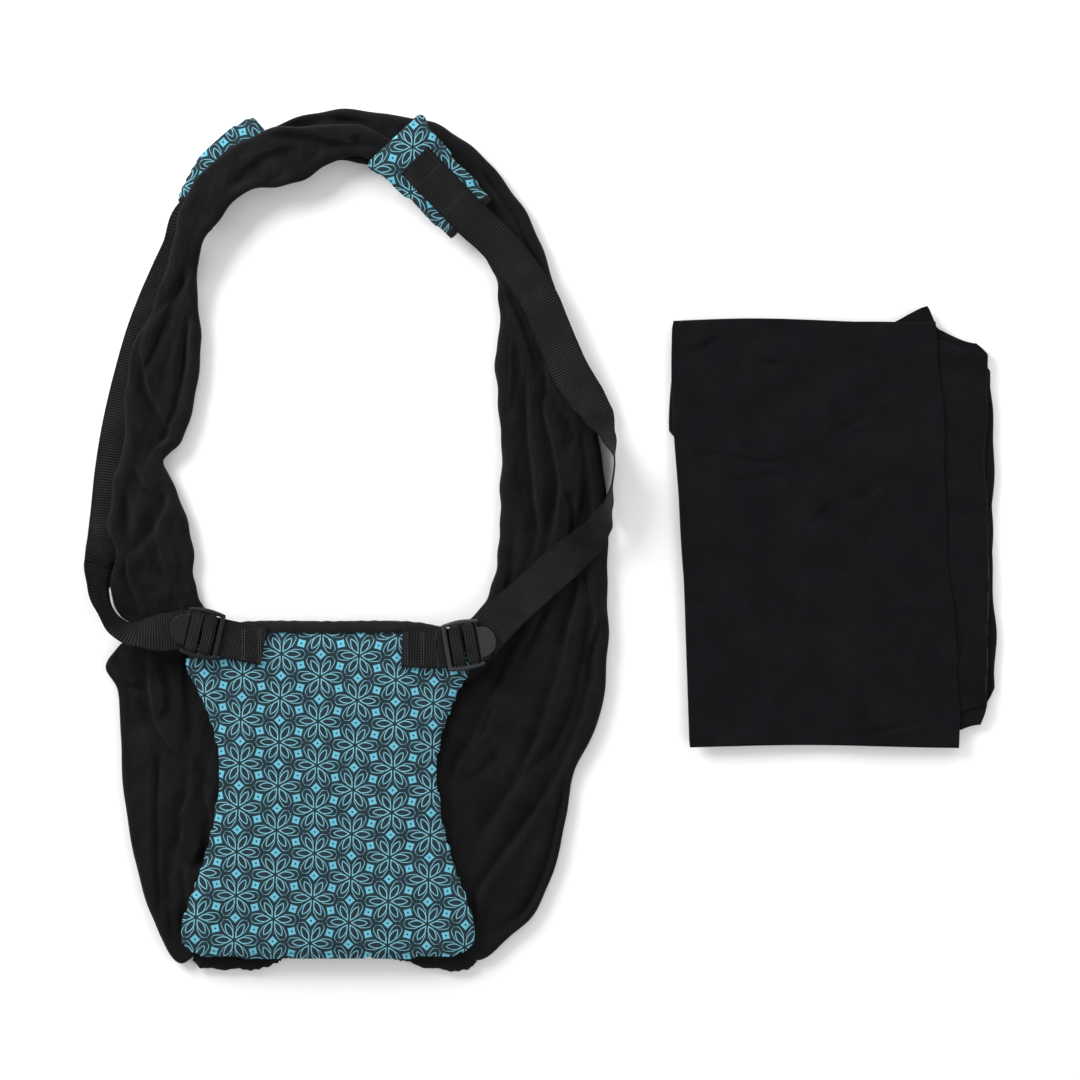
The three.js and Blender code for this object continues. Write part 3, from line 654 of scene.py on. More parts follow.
RIGHT_CREASES = [
    (9, 4.5, 1, [(35, -50), (24, -105), (8, -160), (-7, -205), (-36, -261), (-52, -285), (-79, -322)]),
    (7, 4.0, 1, [(-20, -90), (-36, -128), (-52, -160), (-68, -197), (-87, -227), (-93, -262)]),
    (6, 3.6, -1, [(6, -58), (-7, -96), (-19, -117), (-20, -142)]),
    (4.5, 2.8, 1, [(-40, -160), (-48, -173), (-55, -189), (-76, -224)]),
    (4, 3.4, -1, [(-38, -205), (-57, -227), (-76, -240)]),
    (7, 3.8, -1, [(47, -60), (40, -115), (31, -160), (20, -189), (-7, -224), (-36, -260)]),
    (8, 4.0, 1, [(54, -92), (47, -147), (36, -189), (20, -227), (4, -256), (-25, -293), (-52, -331),
                 (-68, -355)]),
    (6, 4.2, -1, [(33, -200), (23, -243), (15, -280), (9, -307), (-7, -349), (-33, -387), (-58, -402)]),
    (7, 3.8, 1, [(0, -262), (-25, -299), (-49, -331), (-65, -355), (-64, -390)]),
    (5, 3.6, 1, [(10, -322), (-15, -368), (-50, -400)]),
    (7, 4.2, -1, [(65, -72), (52, -109), (49, -136), (60, -160)]),
    (9, 4.0, 1, [(-18, 200), (-14, 165), (-14, 132), (-13, 97), (-9, 66), (-7, 41), (-4, 19), (-6, -6),
                 (-18, -36)]),
    (5.5, 3.6, -1, [(-29, 200), (-26, 165), (-28, 136), (-34, 118), (-38, 86)]),
    (9, 4.6, 1, [(-1, 205), (5, 153), (1, 132), (9, 101), (14, 74), (17, 56), (13, 25), (7, -4), (-3, -30)]),
    (6, 3.4, -1, [(24, 52), (32, 27), (30, 0)]),
    (4.5, 6.5, 1, [(4, 165), (20, 130), (32, 107), (28, 93), (16, 78)]),
    (4.5, 4.6, -1, [(-19, 100), (-24, 74), (-20, 45), (-11, 19), (-15, -4)]),
    (6, 3.8, 1, [(42, -15), (48, -54), (53, -79), (44, -106)]),
    (7, 4.2, 1, [(32, -30), (34, -58), (28, -79), (20, -116)]),
    (5, 4.0, -1, [(65, 20), (63, -27), (56, -76)]),
    (6, 3.8, 1, [(-46, 268), (-32, 228), (-24, 199), (-17, 150)]),
    (6, 3.8, -1, [(-38, 258), (-20, 218), (-10, 189), (-3, 150)]),
    (5, 3.2, 1, [(-32, 222), (-32, 160), (-33, 108)]),
    (7, 4.6, -1, [(-62, 372), (-39, 342), (-22, 315), (-10, 286), (7, 250)]),
    (5, 3.4, 1, [(-285, 400), (-240, 416), (-210, 421), (-165, 416)]),
    (4, 6.0, 1, [(38, -5), (44, 40), (46, 80), (36, 120)]),
    (4, 5.0, -1, [(-34, 20), (-30, -20), (-34, -62)]),
    (5, 4.0, 1, [(-100, -130), (-74, -140), (-50, -120), (-36, -92)]),
]

LEFT_STATIONS = [
    (-213, -405, 0, -213, -300, 0, 11),
    (-285, -405, 0, -236, -235, 0, 11.8),
    (-329, -403, 0, -258, -195, 0, 12),
    (-359, -424, 0, -280, -163, 0, 12),
    (-378, -400, 0, -290, -148, 0, 12),
    (-390, -370, 0, -298, -132, 0, 12),
    (-405, -318, 0, -306, -115, 0, 12),
    (-415, -260, 0, -315, -105, 0, 12),
    (-420, -200, 0, -319, -98, 0, 11.5),
    (-422, -150, 0, -322, -92, 0, 10.5),
    (-434, -127, 0.2, -325, -86, 0, 10),
    (-421, -106, 0.8, -330, -76, 0, 8.5),
    (-406, -88, 1, -336, -64, 0.5, 7),
    (-419, -76, 1.4, -339, -56, 0.6, 8),
    (-427, -60, 2.4, -342, -47, 0.8, 9.4),
    (-431, -42, 3.2, -345, -34, 1.2, 11.5),
    (-424, -20, 3.2, -344, -18, 1.5, 13.4),
    (-424, -8, 3.2, -345, -6, 2, 14),
    (-431, 12, 3.2, -349, 10, 2.2, 14.2),
    (-429, 36, 3.2, -354, 28, 2.6, 14.5),
    (-426, 60, 3.2, -361, 50, 2.6, 15),
    (-422, 74, 3.2, -369, 66, 2.6, 15),
    (-418, 88, 3.2, -374, 78, 2.6, 15),
    (-415, 104, 3.2, -369, 86, 2.6, 15),
    (-415, 124, 3.2, -356, 98, 2.6, 15),
    (-412, 160, 3.2, -346, 132, 2.6, 15),
    (-406, 197, 3.4, -337, 176, 2.8, 15),
    (-393, 218, 4.0, -337, 200, 3.1, 14.7),
    (-385, 238, 4.8, -338, 220, 3.8, 14.4),
    (-372, 270, 9.6, -341, 256, 9.2, 13.5),
    (-364, 302, 19.6, -335, 289, 19.2, 12.4),
    (-356, 334, 19.8, -318, 316, 19.6, 12),
    (-345, 355, 19.8, -303, 335, 19.6, 12),
    (-328, 372, 19.8, -286, 347, 19.6, 12),
    (-298, 395, 19.8, -262, 350, 19.6, 12),
    (-264, 410, 19.6, -237, 354, 18.6, 12),
    (-232, 412, 17.8, -214, 370, 14.5, 12.8),
    (-198, 414, 14.3, -190, 380, 14.2, 13.5),
    (-168, 409, 14.2, -164, 377, 14.2, 12.6),
    (-138, 392, 14.2, -138, 364, 14.2, 10.5),
    (-112, 371, 14.2, -116, 347, 14.2, 7.4),
]

LEFT_CREASES = [
    (9, 4.6, 1, [(-399, 204), (-396, 165), (-390, 142), (-377, 120), (-371, 105), (-386, 90), (-376, 80)]),
    (7, 3.6, -1, [(-352, 205), (-359, 159), (-367, 128), (-373, 100)]),
    (5, 5.5, 1, [(-408, 74), (-394, 52), (-377, 35), (-384, 14)]),
    (7, 5.0, -1, [(-416, 56), (-413, 4), (-406, -10), (-392, 4), (-374, 32)]),
    (6, 4.2, 1, [(-412, -8), (-414, -33), (-406, -58), (-396, -92)]),
    (6, 4.4, 1, [(-378, 100), (-373, 62), (-371, 45), (-383, 18)]),
    (7, 4.0, 1, [(-340, 278), (-358, 251), (-379, 228), (-388, 214)]),
    (9, 4.2, -1, [(-350, 262), (-369, 230), (-381, 204), (-390, 179), (-396, 150)]),
    (6, 3.6, 1, [(-392, 216), (-400, 185), (-398, 150)]),
    (6, 3.2, 1, [(-343, 236), (-350, 208), (-357, 150)]),
    (8, 4.6, 1, [(-275, 396), (-250, 403), (-218, 396), (-189, 390), (-160, 394)]),
    (4.5, 5.5, 1, [(-222, 396), (-219, 377), (-236, 352)]),
    (6, 3.0, -1, [(-276, 346), (-265, 355), (-250, 357)]),
    (5, 3.0, 1, [(-192, 422), (-167, 408), (-148, 398)]),
    (6, 3.6, -1, [(-188, 402), (-179, 388), (-173, 374)]),
    (5, 5.5, 1, [(-310, 345), (-290, 366), (-262, 383), (-236, 386)]),
    (9, 4.6, 1, [(-392, -86), (-393, -147), (-389, -168), (-383, -189), (-364, -216), (-344, -230)]),
    (7, 2.8, -1, [(-382, -200), (-384, -280), (-383, -333), (-378, -392)]),
    (7, 4.6, -1, [(-352, -105), (-353, -147), (-348, -200), (-340, -227), (-322, -254)]),
    (7, 4.4, 1, [(-352, -180), (-351, -227), (-356, -261), (-368, -285)]),
    (8, 4.0, 1, [(-362, -265), (-359, -291), (-364, -307), (-368, -345)]),
    (9, 5.0, 1, [(-361, -294), (-345, -323), (-331, -300)]),
    (6, 3.6, -1, [(-374, -300), (-372, -360), (-366, -412)]),
    (6, 3.4, 1, [(-360, -310), (-353, -360), (-352, -412)]),
    (7, 2.8, 1, [(-440, -112), (-417, -141), (-390, -150)]),
    (6, 4.4, -1, [(-381, -116), (-372, -160), (-385, -190)]),
    (5, 4.0, 1, [(-340, -236), (-330, -290), (-338, -330)]),
    (5, 5.0, 1, [(-388, 40), (-380, -20), (-366, -50)]),
]

SOFT_WAVES = [
    (0.0009, 0.061, 0.190, 0.4), (0.0007, -0.043, 0.121, 1.9), (0.0004, 0.023, -0.090, 2.6),
    (0.00022, 0.014, 0.060, 0.9), (0.00016, -0.0095, 0.031, 3.3),
]
WING_SPACING = 2.4 * MM
WINGS = (                           # with the size of each sheet spread out, in metres
    ("right_wing", RIGHT_STATIONS, RIGHT_CREASES, (0.235, 1.27)),
    ("left_wing", LEFT_STATIONS, LEFT_CREASES, (0.18, 1.24)),
)
for wing_node, stations, creases, spread in WINGS:
    wing(f"{wing_node}_knit", stations, creases, WING_SPACING, SOFT_WAVES, wing_node)


# =====================================================================================
# Seat casing: a gathered knit channel round its elastic
# =====================================================================================
def seat_casing():
    """The channel is gathered along its length, so it stands in short crosswise ruffles."""
    path = catmull([(x * MM, y * MM, 5.4 * MM) for x, y in (
        (-346, -415.5), (-330, -417.5), (-300, -418), (-276, -417), (-262, -409), (-211, -405.5),
        (-140, -408), (-118, -415), (-96, -418.5), (-78, -419.5), (-64, -417))], 10)
    path, along = evenly(path, 0.9 * MM)
    heading = unit(np.gradient(path[:, :2], axis=0))
    side = np.column_stack([-heading[:, 1], heading[:, 0]])
    count = 36
    angles = (np.arange(count) + 0.5) / count * 2 * math.pi
    ease = np.minimum(smoothstep(0, 0.010, along), smoothstep(along[-1], along[-1] - 0.010, along))
    rings = np.zeros((len(path), count, 3))
    for k, angle in enumerate(angles):
        c, s = math.cos(angle), math.sin(angle)
        u = math.copysign(abs(c) ** 0.7, c)
        v = math.copysign(abs(s) ** 0.8, s)
        drift = 0.9 * math.sin(angle) + 0.7 * math.sin(2 * angle + 1)
        ruffle = np.sin(along / 0.00125 + drift + 1.3 * np.sin(along / 0.011))
        ruffle = ruffle * (0.6 + 0.4 * np.sin(along / 0.017 + angle))
        broad = np.sin(along / 0.0041 + 0.6 * drift)
        reach = (0.42 + 0.58 * ease) * (1 + 0.075 * ruffle + 0.085 * broad)
        half_width, half_height = 10.6 * MM, 4.6 * MM
        rings[:, k, :2] = path[:, :2] + side * (u * half_width * reach)[:, None]
        rings[:, k, 2] = np.maximum(path[:, 2] + v * half_height * reach, 0.2 * MM)
    cloth = np.stack([np.repeat(angles[None, :] * 8 * MM, len(path), 0),
                      np.repeat(along[:, None] * 1.6, count, 1), np.zeros((len(path), count))], axis=2)
    obj = tube("seat_ruffle", rings, ["casing"], cloth)
    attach(obj, "carrier")
    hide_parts("seat_casing", "seat_elastic")
    return obj


seat_casing()


# =====================================================================================
# Padded pieces: the front panel and the two shoulder pads
# =====================================================================================
def smooth_closed(points, spacing):
    """A closed outline of corner points as a smooth line of even steps."""
    points = np.asarray(points, float)
    looped = np.vstack([points, points[:1]])
    line = catmull(np.column_stack([looped, np.zeros(len(looped))]), 8)
    line, _ = evenly(line, spacing)
    return line[:-1, :2]


def panel_outline(inset=0.0):
    """The hourglass panel, in metres, pulled in by inset."""
    right = [(0, 0), (45, 0), (88, -1), (120, -8), (137, -22), (141, -30), (130, -63), (117, -102),
             (113, -138), (117, -180), (127, -222), (141, -268), (146, -296), (141, -311), (124, -320),
             (84, -324), (40, -324)]
    left = [(-x, y) for x, y in reversed(right[1:])]
    outline = np.array(right + [(0, -324)] + left, float) * MM
    outline[:, 1] += 1.4 * MM * smoothstep(-0.030, 0.0, outline[:, 1])      # up into the top band
    outline = outline * [(0.141 - inset) / 0.141, (0.324 - 2 * inset) / 0.324]
    return outline + [PANEL_CENTRE_X, PANEL_TOP_Y - inset]


# The left pad keeps this share of its half width on the side that is rolled under the wing, and its long
# sides are bowed the other way.
PAD_TUCKED = {"left": 0.6, "right": 1.0}
PAD_BOW = {"left": 12 * MM, "right": 0.0}


def pad_outline(side, inset=0.0):
    """A shoulder pad in its own frame: x from the wide end to the narrow end."""
    wide, narrow = PAD_WIDE / 2 - inset, PAD_NARROW / 2 - inset
    start, end, c = inset, PAD_LENGTH - inset, 5 * MM
    half = [(start, 0), (start, wide * 0.5), (start, wide - c), (start + c * 0.3, wide - c * 0.3),
            (start + c, wide)]
    half += [(PAD_LENGTH * t, wide + (narrow - wide) * t + 0.4 * MM) for t in (0.25, 0.42, 0.58, 0.75)]
    half += [(end - c, narrow + 0.3 * MM), (end - c * 0.3, narrow - c * 0.2), (end, narrow - c),
             (end, narrow * 0.5), (end, 0)]
    outline = [(x, y * PAD_TUCKED[side]) for x, y in half] + [(x, -y) for x, y in reversed(half[1:-1])]
    return [(x, y - PAD_BOW[side] * math.sin(math.pi * x / PAD_LENGTH)) for x, y in outline]


def pillow(name, outline, low, high, voxel, swell):
    """A stuffed shape between two heights: a plate, remeshed, blown up by Blender's cloth with pressure."""
    ring = smooth_closed(outline, 3 * MM)
    count = len(ring)
    points = np.vstack([np.column_stack([ring, np.full(count, low)]),
                        np.column_stack([ring, np.full(count, high)])])
    faces = [(k, (k + 1) % count, (k + 1) % count + count, k + count) for k in range(count)]
    faces += [tuple(reversed(range(count))), tuple(range(count, 2 * count))]
    obj = make_mesh(name, points, faces, ["lining"])
    face_out(obj)
    remesh = obj.modifiers.new("remesh", "REMESH")
    remesh.mode = "VOXEL"
    remesh.voxel_size = voxel
    apply_modifiers(obj)
    before = positions(obj.data)
    for o in bpy.context.selected_objects:
        o.select_set(False)
    cloth = obj.modifiers.new("fill", "CLOTH")
    cloth.settings.use_pressure = True
    cloth.settings.uniform_pressure_force = 4
    cloth.settings.effector_weights.gravity = 0
    cloth.settings.quality = 5
    cloth.point_cache.frame_start = 1
    cloth.point_cache.frame_end = 20
    for step in range(1, 21):
        bpy.context.scene.frame_set(step)
    apply_modifiers(obj)
    bpy.context.scene.frame_set(1)
    after = positions(obj.data)
    moved = after - before
    reach = np.linalg.norm(moved, axis=1, keepdims=True)
    moved = moved * (swell * np.tanh(reach / swell) / np.maximum(reach, 1e-9))
    set_positions(obj.data, before + moved)
    divide = obj.modifiers.new("divide", "SUBSURF")
    divide.levels = 1
    divide.render_levels = 1
    return apply_modifiers(obj)


def outline_depth(points, outline):
    """How far each point is inside a closed outline, seen from above."""
    ring = smooth_closed(outline, 4 * MM)
    ahead = np.roll(ring, -1, axis=0)
    best = np.full(len(points), 1e9)
    for a, b in zip(ring, ahead):
        d = b - a
        t = np.clip(((points[:, :2] - a) @ d) / (d @ d), 0, 1)
        best = np.minimum(best, np.linalg.norm(points[:, :2] - a - t[:, None] * d, axis=1))
    return best


def fit_outline(obj, outline):
    """Stretches a pillow so that its seam lies on the outline."""
    points = positions(obj.data)
    ring = smooth_closed(outline, 4 * MM)
    for axis in (0, 1):
        want_low, want_high = ring[:, axis].min(), ring[:, axis].max()
        have_low, have_high = points[:, axis].min(), points[:, axis].max()
        share = (points[:, axis] - have_low) / (have_high - have_low)
        points[:, axis] = want_low + share * (want_high - want_low)
    set_positions(obj.data, points)


def crown(obj, outline, low, high, edge, seam, bulge):
    """Shapes a pillow's two sides between low and high: full in the middle, thin at the seamed edge."""
    fit_outline(obj, outline)
    points = positions(obj.data)
    depth = outline_depth(points, outline)
    middle = (low + high) / 2
    z = points[:, 2]
    lift = np.clip((z - middle) / (np.abs(z - middle).max()), -1, 1)
    full = smoothstep(0, edge, depth) ** 0.5
    half = seam / 2 + ((high - low) / 2 - seam / 2) * full
    ripple = bulge * waves(points[:, 0], points[:, 1], [(1, 0.083, 0.21, 0.3), (0.8, -0.16, 0.071, 2.1)])
    points[:, 2] = middle + np.sign(lift) * np.abs(lift) ** 0.5 * half + ripple * full * (lift > 0)
    points[:, 2] = np.clip(points[:, 2], low, high)
    set_positions(obj.data, points)
    return obj


def print_top(obj, middle):
    """The lining below and the print above, meeting at the seam half way up."""
    obj.data.materials.clear()
    for key in ("print", "lining"):
        obj.data.materials.append(MATERIALS[key])
    centres = np.empty(len(obj.data.polygons) * 3, np.float32)
    obj.data.polygons.foreach_get("center", centres)
    below = centres.reshape(-1, 3)[:, 2] < middle
    obj.data.polygons.foreach_set("material_index", below.astype(np.int32))
    obj.data.polygons.foreach_set("use_smooth", [True] * len(obj.data.polygons))


def front_panel():
    outline = panel_outline()
    start_inset = 2.5 * MM
    low, high = PANEL_LOW + 0.1 * MM, PANEL_HIGH - 0.1 * MM
    start = panel_outline(start_inset)
    obj = pillow("front_panel_padded", start, low + 2 * MM, high - 2 * MM, 4.5 * MM, 7 * MM)
    crown(obj, outline, low, high, 16 * MM, 2.6 * MM, 0.25 * MM)
    print_top(obj, (low + high) / 2 - 0.4 * MM)
    set_cloth(obj.data, positions(obj.data) * [1, 1, 0])
    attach(obj, "carrier")
    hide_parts("front_panel_face", "front_panel_padding", "front_panel_lining")
    return obj


panel = front_panel()


def pad_matrix(x, y, heading, drop, underside):
    return (Matrix.Translation((x * MM, y * MM, underside * MM))
            @ Matrix.Rotation(math.radians(heading), 4, "Z")
            @ Matrix.Rotation(math.radians(drop), 4, "Y"))


PADS = {"right": pad_matrix(-146, 398, -45.5, 7.2, 29.2), "left": pad_matrix(-260, 393.2, 222.5, 0, 9.3)}


def shoulder_pad(side):
    matrix = PADS[side]
    outline = pad_outline(side)
    start = pad_outline(side, 1.5 * MM)
    obj = pillow(f"{side}_shoulder_pad", start, 2 * MM, PAD_THICK - 2 * MM, 3.2 * MM, 4 * MM)
    crown(obj, outline, 0.15 * MM, PAD_THICK - 0.1 * MM, 11 * MM, 2.4 * MM, 0.1 * MM)
    print_top(obj, PAD_THICK * 0.46)
    local = positions(obj.data)
    world = np.array([matrix @ Vector(p) for p in local])
    set_cloth(obj.data, world * [1, 1, 0])
    set_positions(obj.data, world)
    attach(obj, "carrier")
    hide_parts(f"{side}_pad_face", f"{side}_pad_foam", f"{side}_pad_backing")
    return obj


def pad_hem(side):
    """The black band bound round the pad's narrow end."""
    matrix = PADS[side]
    half, width = PAD_NARROW / 2 - 0.5 * MM, 8 * MM
    turns = 28
    steps = 60
    end = PAD_LENGTH + 0.6 * MM
    rings, cloth = [], []
    for i in range(steps + 1):
        y = -half + (1 + PAD_TUCKED[side]) * half * i / steps
        edge = max(0.0, min(1.0, (half * PAD_TUCKED[side] - y) / (2.5 * MM), (half + y) / (2.5 * MM))) ** 0.5
        ring, ring_cloth = [], []
        for k in range(turns):
            angle = 2 * math.pi * (k + 0.5) / turns
            c, s = math.cos(angle), math.sin(angle)
            u = math.copysign(abs(c) ** 0.55, c)
            v = math.copysign(abs(s) ** 0.55, s)
            thick = 2.6 * MM * (0.45 + 0.55 * edge)
            wrinkle = 0.12 * MM * math.sin(y / 0.0009) * math.sin(y / 0.0043)
            x = end - width / 2 + u * (width / 2 - (1 - edge) * 1.5 * MM)
            z = PAD_THICK / 2 + v * (thick + wrinkle) + 0.35 * MM * v * (x < end - width * 0.6)
            ring.append(matrix @ Vector((x, y, z)))
            ring_cloth.append((y, angle * 4 * MM, 0))
        rings.append(ring)
        cloth.append(ring_cloth)
    obj = tube(f"{side}_pad_hem", rings, ["hem"], cloth)
    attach(obj, "carrier")
    return obj


pads = {side: shoulder_pad(side) for side in PADS}
for side in PADS:
    pad_hem(side)


# =====================================================================================
# Webbing
# =====================================================================================


def strap_mesh(name, centres, widths, width=WEB_WIDTH, thick=WEB_THICK, ribs=0.2 * MM):
    """Woven webbing along closely spaced centre points, with crosswise ribs and firm round edges."""
    centres = np.asarray(centres, float)
    widths = unit(np.asarray(widths, float))
    length = np.concatenate([[0], np.cumsum(np.linalg.norm(np.diff(centres, axis=0), axis=1))])
    along = unit(np.gradient(centres, axis=0))
    widths = unit(widths - along * np.sum(along * widths, axis=1, keepdims=True))
    normal = np.cross(along, widths)
    half, t = width / 2, thick / 2
    section = [(-half, 0), (-half + 0.3 * MM, -0.8 * t), (-half + 1.1 * MM, -t)]
    section += [(u * half, -t) for u in (-0.6, -0.2, 0.2, 0.6)]
    section += [(half - 1.1 * MM, -t), (half - 0.3 * MM, -0.8 * t), (half, 0),
                (half - 0.3 * MM, 0.8 * t), (half - 1.1 * MM, t)]
    section += [(u * half, t) for u in (0.6, 0.2, -0.2, -0.6)]
    section += [(-half + 1.1 * MM, t), (-half + 0.3 * MM, 0.8 * t)]
    rib = ribs * (np.abs(np.sin(math.pi * length / RIB)) ** 0.8 - 1)
    rings = np.zeros((len(centres), len(section), 3))
    cloth = np.zeros_like(rings)
    for k, (u, v) in enumerate(section):
        height = v + np.sign(v) * rib * (abs(v) > 0.9 * t)
        rings[:, k] = centres + widths * u + normal * height[:, None]
        cloth[:, k, 0] = u
        cloth[:, k, 1] = length
        cloth[:, k, 2] = v
    obj = tube(name, rings, ["webbing"], cloth)
    return obj


def buckle_matrix(side):
    x, y, heading = BUCKLES[side]
    return Matrix.Translation((x, y, BUCKLE_HEIGHT)) @ Matrix.Rotation(math.radians(heading), 4, "Z")


END_BAR, SLOT_A, BAR_ONE, SLOT_B, BAR_TWO, SLOT_C = (v * MM for v in (5, 9, 17.2, 23.2, 31.5, 35.5))
WRAP = GAP + WEB_THICK / 2
BAR_TOP = 2 * MM
UPPER = -BAR_TOP - WRAP
LOWER = UPPER - WEB_THICK - GAP
FOLD_LINE = -2 * MM
WRAP_END = SLOT_C + 1 * MM


def arc(x, z, radius, start, end, steps=10):
    angles = np.radians(np.linspace(start, end, steps + 1))
    return [(x + radius * math.cos(a), z + radius * math.sin(a)) for a in angles]


def in_buckle(side, points):
    matrix = buckle_matrix(side)
    return [np.array(matrix @ Vector((x, 0, z))) for x, z in points]


def across_buckle(side):
    return np.array((buckle_matrix(side).to_3x3() @ Vector((0, 1, 0))))


def anchor(side):
    """Webbing sewn to the panel, up through the buckle, over its first bar and back to the panel."""
    r = WRAP
    turn = LOWER + r
    loop = [(FOLD_LINE - 5 * MM, UPPER), (FOLD_LINE, UPPER), (SLOT_A - 2 * r, UPPER)]
    loop += arc(SLOT_A - 2 * r, UPPER + r, r, -90, 0) + arc(SLOT_A, BAR_TOP, r, 180, 90)
    loop += arc(BAR_ONE, BAR_TOP, r, 90, 0) + arc(BAR_ONE, turn, r, 0, -90)
    loop += [(FOLD_LINE, LOWER), (FOLD_LINE - 5 * MM, LOWER)]
    matrix = buckle_matrix(side)
    across = across_buckle(side)
    square = np.array((0, math.copysign(1, across[1]), 0))
    middle = (UPPER + LOWER) / 2
    straight = np.array(matrix @ Vector((FOLD_LINE - 5 * MM, 0, middle)))
    end = np.array((*ANCHOR_ENDS[side], PANEL_HIGH + GAP + (2 * WEB_THICK + GAP) / 2))
    half_gap = np.array((0, 0, (WEB_THICK + GAP) / 2))

    def tab(sign):
        return [(straight * (1 - t) + end * t + half_gap * sign, across * (1 - t) + square * t)
                for t in np.linspace(0, 1, 8)]

    rows = [*reversed(tab(1)[1:]), *[(p, across) for p in in_buckle(side, loop)], *tab(-1)[1:]]
    table = np.array([np.concatenate([p, w]) for p, w in rows])
    table, _ = evenly(table, 0.42 * MM)
    obj = strap_mesh(f"{side}_anchor_webbing", table[:, :3], table[:, 3:6])
    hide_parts(f"{side}_anchor_strap", f"{side}_anchor_wrap")
    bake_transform(obj)
    return obj, table


def on_pad(side, along, aside=0):
    p = PADS[side] @ Vector((along * MM, aside * MM, PAD_THICK + GAP + WEB_THICK / 2))
    return (*(v / MM for v in p), 0)


# Each station of a strap is x, y, z in millimetres and how far its outer edge has dropped, in degrees.
STRAPS = {
    "right": ([on_pad("right", v) for v in (30, 66, 98, 114)] + [
        (-47, 300, 20, 0), (-29, 280, 17.6, 0), (-13, 259, 17.4, 0), (0, 238, 17.4, 0), (10, 214, 17.4, 0),
        (20, 190, 17.6, 0), (30, 168, 17.8, 0), (43, 147, 18.6, 10), (57, 126, 19.5, 34), (68, 103, 20, 66),
        (74, 81, 20, 88), (72, 57, 20.5, 88), (68.5, 36, 23, 76), (61, 16, 27.5, 52), (48, -1, 26.8, 34),
        (33, -14, 23, 16), (19, -26, 20.6, 4), (-10, -52, 20.2, 0), (-36, -76, 23.6, 0)], 1),
    "left": ([on_pad("left", *v) for v in ((24, -8), (64, -9), (98, -6), (117, -4))] + [
        (-357, 293, 11, 0), (-369, 269, 3.5, 0), (-383, 238, 1.1, 0), (-395, 206, 1.1, 0),
        (-406, 168, 1.1, 0), (-418, 118, 1.1, 0), (-426, 70, 1.1, 0), (-430, 32, 1.1, 0),
        (-433, 0, 4, -12), (-438, -26, 13, -40), (-439, -50, 19, -66), (-431, -72, 20, -74),
        (-417, -88, 22.5, -64), (-402, -92.5, 24.4, -52), (-387, -92.5, 24.3, -34),
        (-373, -91.5, 24.2, -9)], -1),
}
TAILS = {
    "left": [(-358, -89.8, 21.6), (-364, -90.6, 20)],
    "right": [(-42, -83, 20.8), (-26, -66, 18.6)],
}
TURNING = {"left": 0.045, "right": 0.08}      # how far before the buckle a strap starts to square up


def shoulder_strap(side):
    """One length of webbing: sewn on the pad, down to the buckle, round its second bar and out as a tail."""
    stations, outer = STRAPS[side]
    across = across_buckle(side)
    entry = in_buckle(side, [(WRAP_END, UPPER)])[0]
    rows = [(x * MM, y * MM, z * MM, lean) for x, y, z, lean in stations] + [(*entry, 0)]
    laid, along = evenly(catmull(rows, 14), 0.42 * MM)
    lean = np.radians(laid[:, 3])
    reach = WEB_WIDTH / 2 * np.abs(np.sin(lean))
    laid[:, 2] = np.maximum(laid[:, 2], reach + WEB_THICK / 2 + 0.2 * MM)
    step = np.gradient(laid[:, :2], axis=0)
    heading = np.arctan2(step[:, 1], step[:, 0]) + outer * math.pi / 2
    widths = np.column_stack([np.cos(lean) * np.cos(heading), np.cos(lean) * np.sin(heading), -np.sin(lean)])
    toward = across * math.copysign(1, across @ widths[-1])
    turning = smoothstep(along[-1] - TURNING[side], along[-1], along)[:, None]
    widths = unit(widths * (1 - turning) + toward * turning)
    r = WRAP
    loop = [(WRAP_END - 0.6 * MM, UPPER), (BAR_TWO + 2 * r, UPPER)]
    loop += arc(BAR_TWO + 2 * r, UPPER + r, r, 270, 180) + arc(BAR_TWO, BAR_TOP, r, 0, 90)
    loop += arc(SLOT_B, BAR_TOP, r, 90, 180) + arc(SLOT_B, LOWER + r, r, 180, 270)
    loop += [(WRAP_END, LOWER)]
    leaving = in_buckle(side, [(WRAP_END - 3 * MM, LOWER), (WRAP_END, LOWER)])
    tail = catmull([*leaving, *[np.array(p) * MM for p in TAILS[side]]], 12)[13:]
    tail_step = np.gradient(tail[:, :2], axis=0)
    tail_heading = np.arctan2(tail_step[:, 1], tail_step[:, 0]) + math.pi / 2
    tail_width = np.column_stack([np.cos(tail_heading), np.sin(tail_heading), 0 * tail_heading])
    tail_width *= np.sign(tail_width @ toward)[:, None]
    ease = smoothstep(0, 1, np.linspace(0, 1, len(tail)))[:, None]
    tail_width = unit(toward * (1 - ease) + tail_width * ease)
    table = np.vstack([
        np.hstack([laid[:, :3], widths]),
        [np.concatenate([p, toward]) for p in in_buckle(side, loop)],
        np.hstack([tail, tail_width])])
    table, _ = evenly(table, 0.42 * MM)
    obj = strap_mesh(f"{side}_strap_webbing", table[:, :3], table[:, 3:6])
    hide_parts(f"{side}_shoulder_strap", f"{side}_strap_wrap", f"{side}_strap_tail")
    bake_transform(obj)
    return obj, table


anchors = {side: anchor(side) for side in BUCKLES}
straps = {side: shoulder_strap(side) for side in BUCKLES}


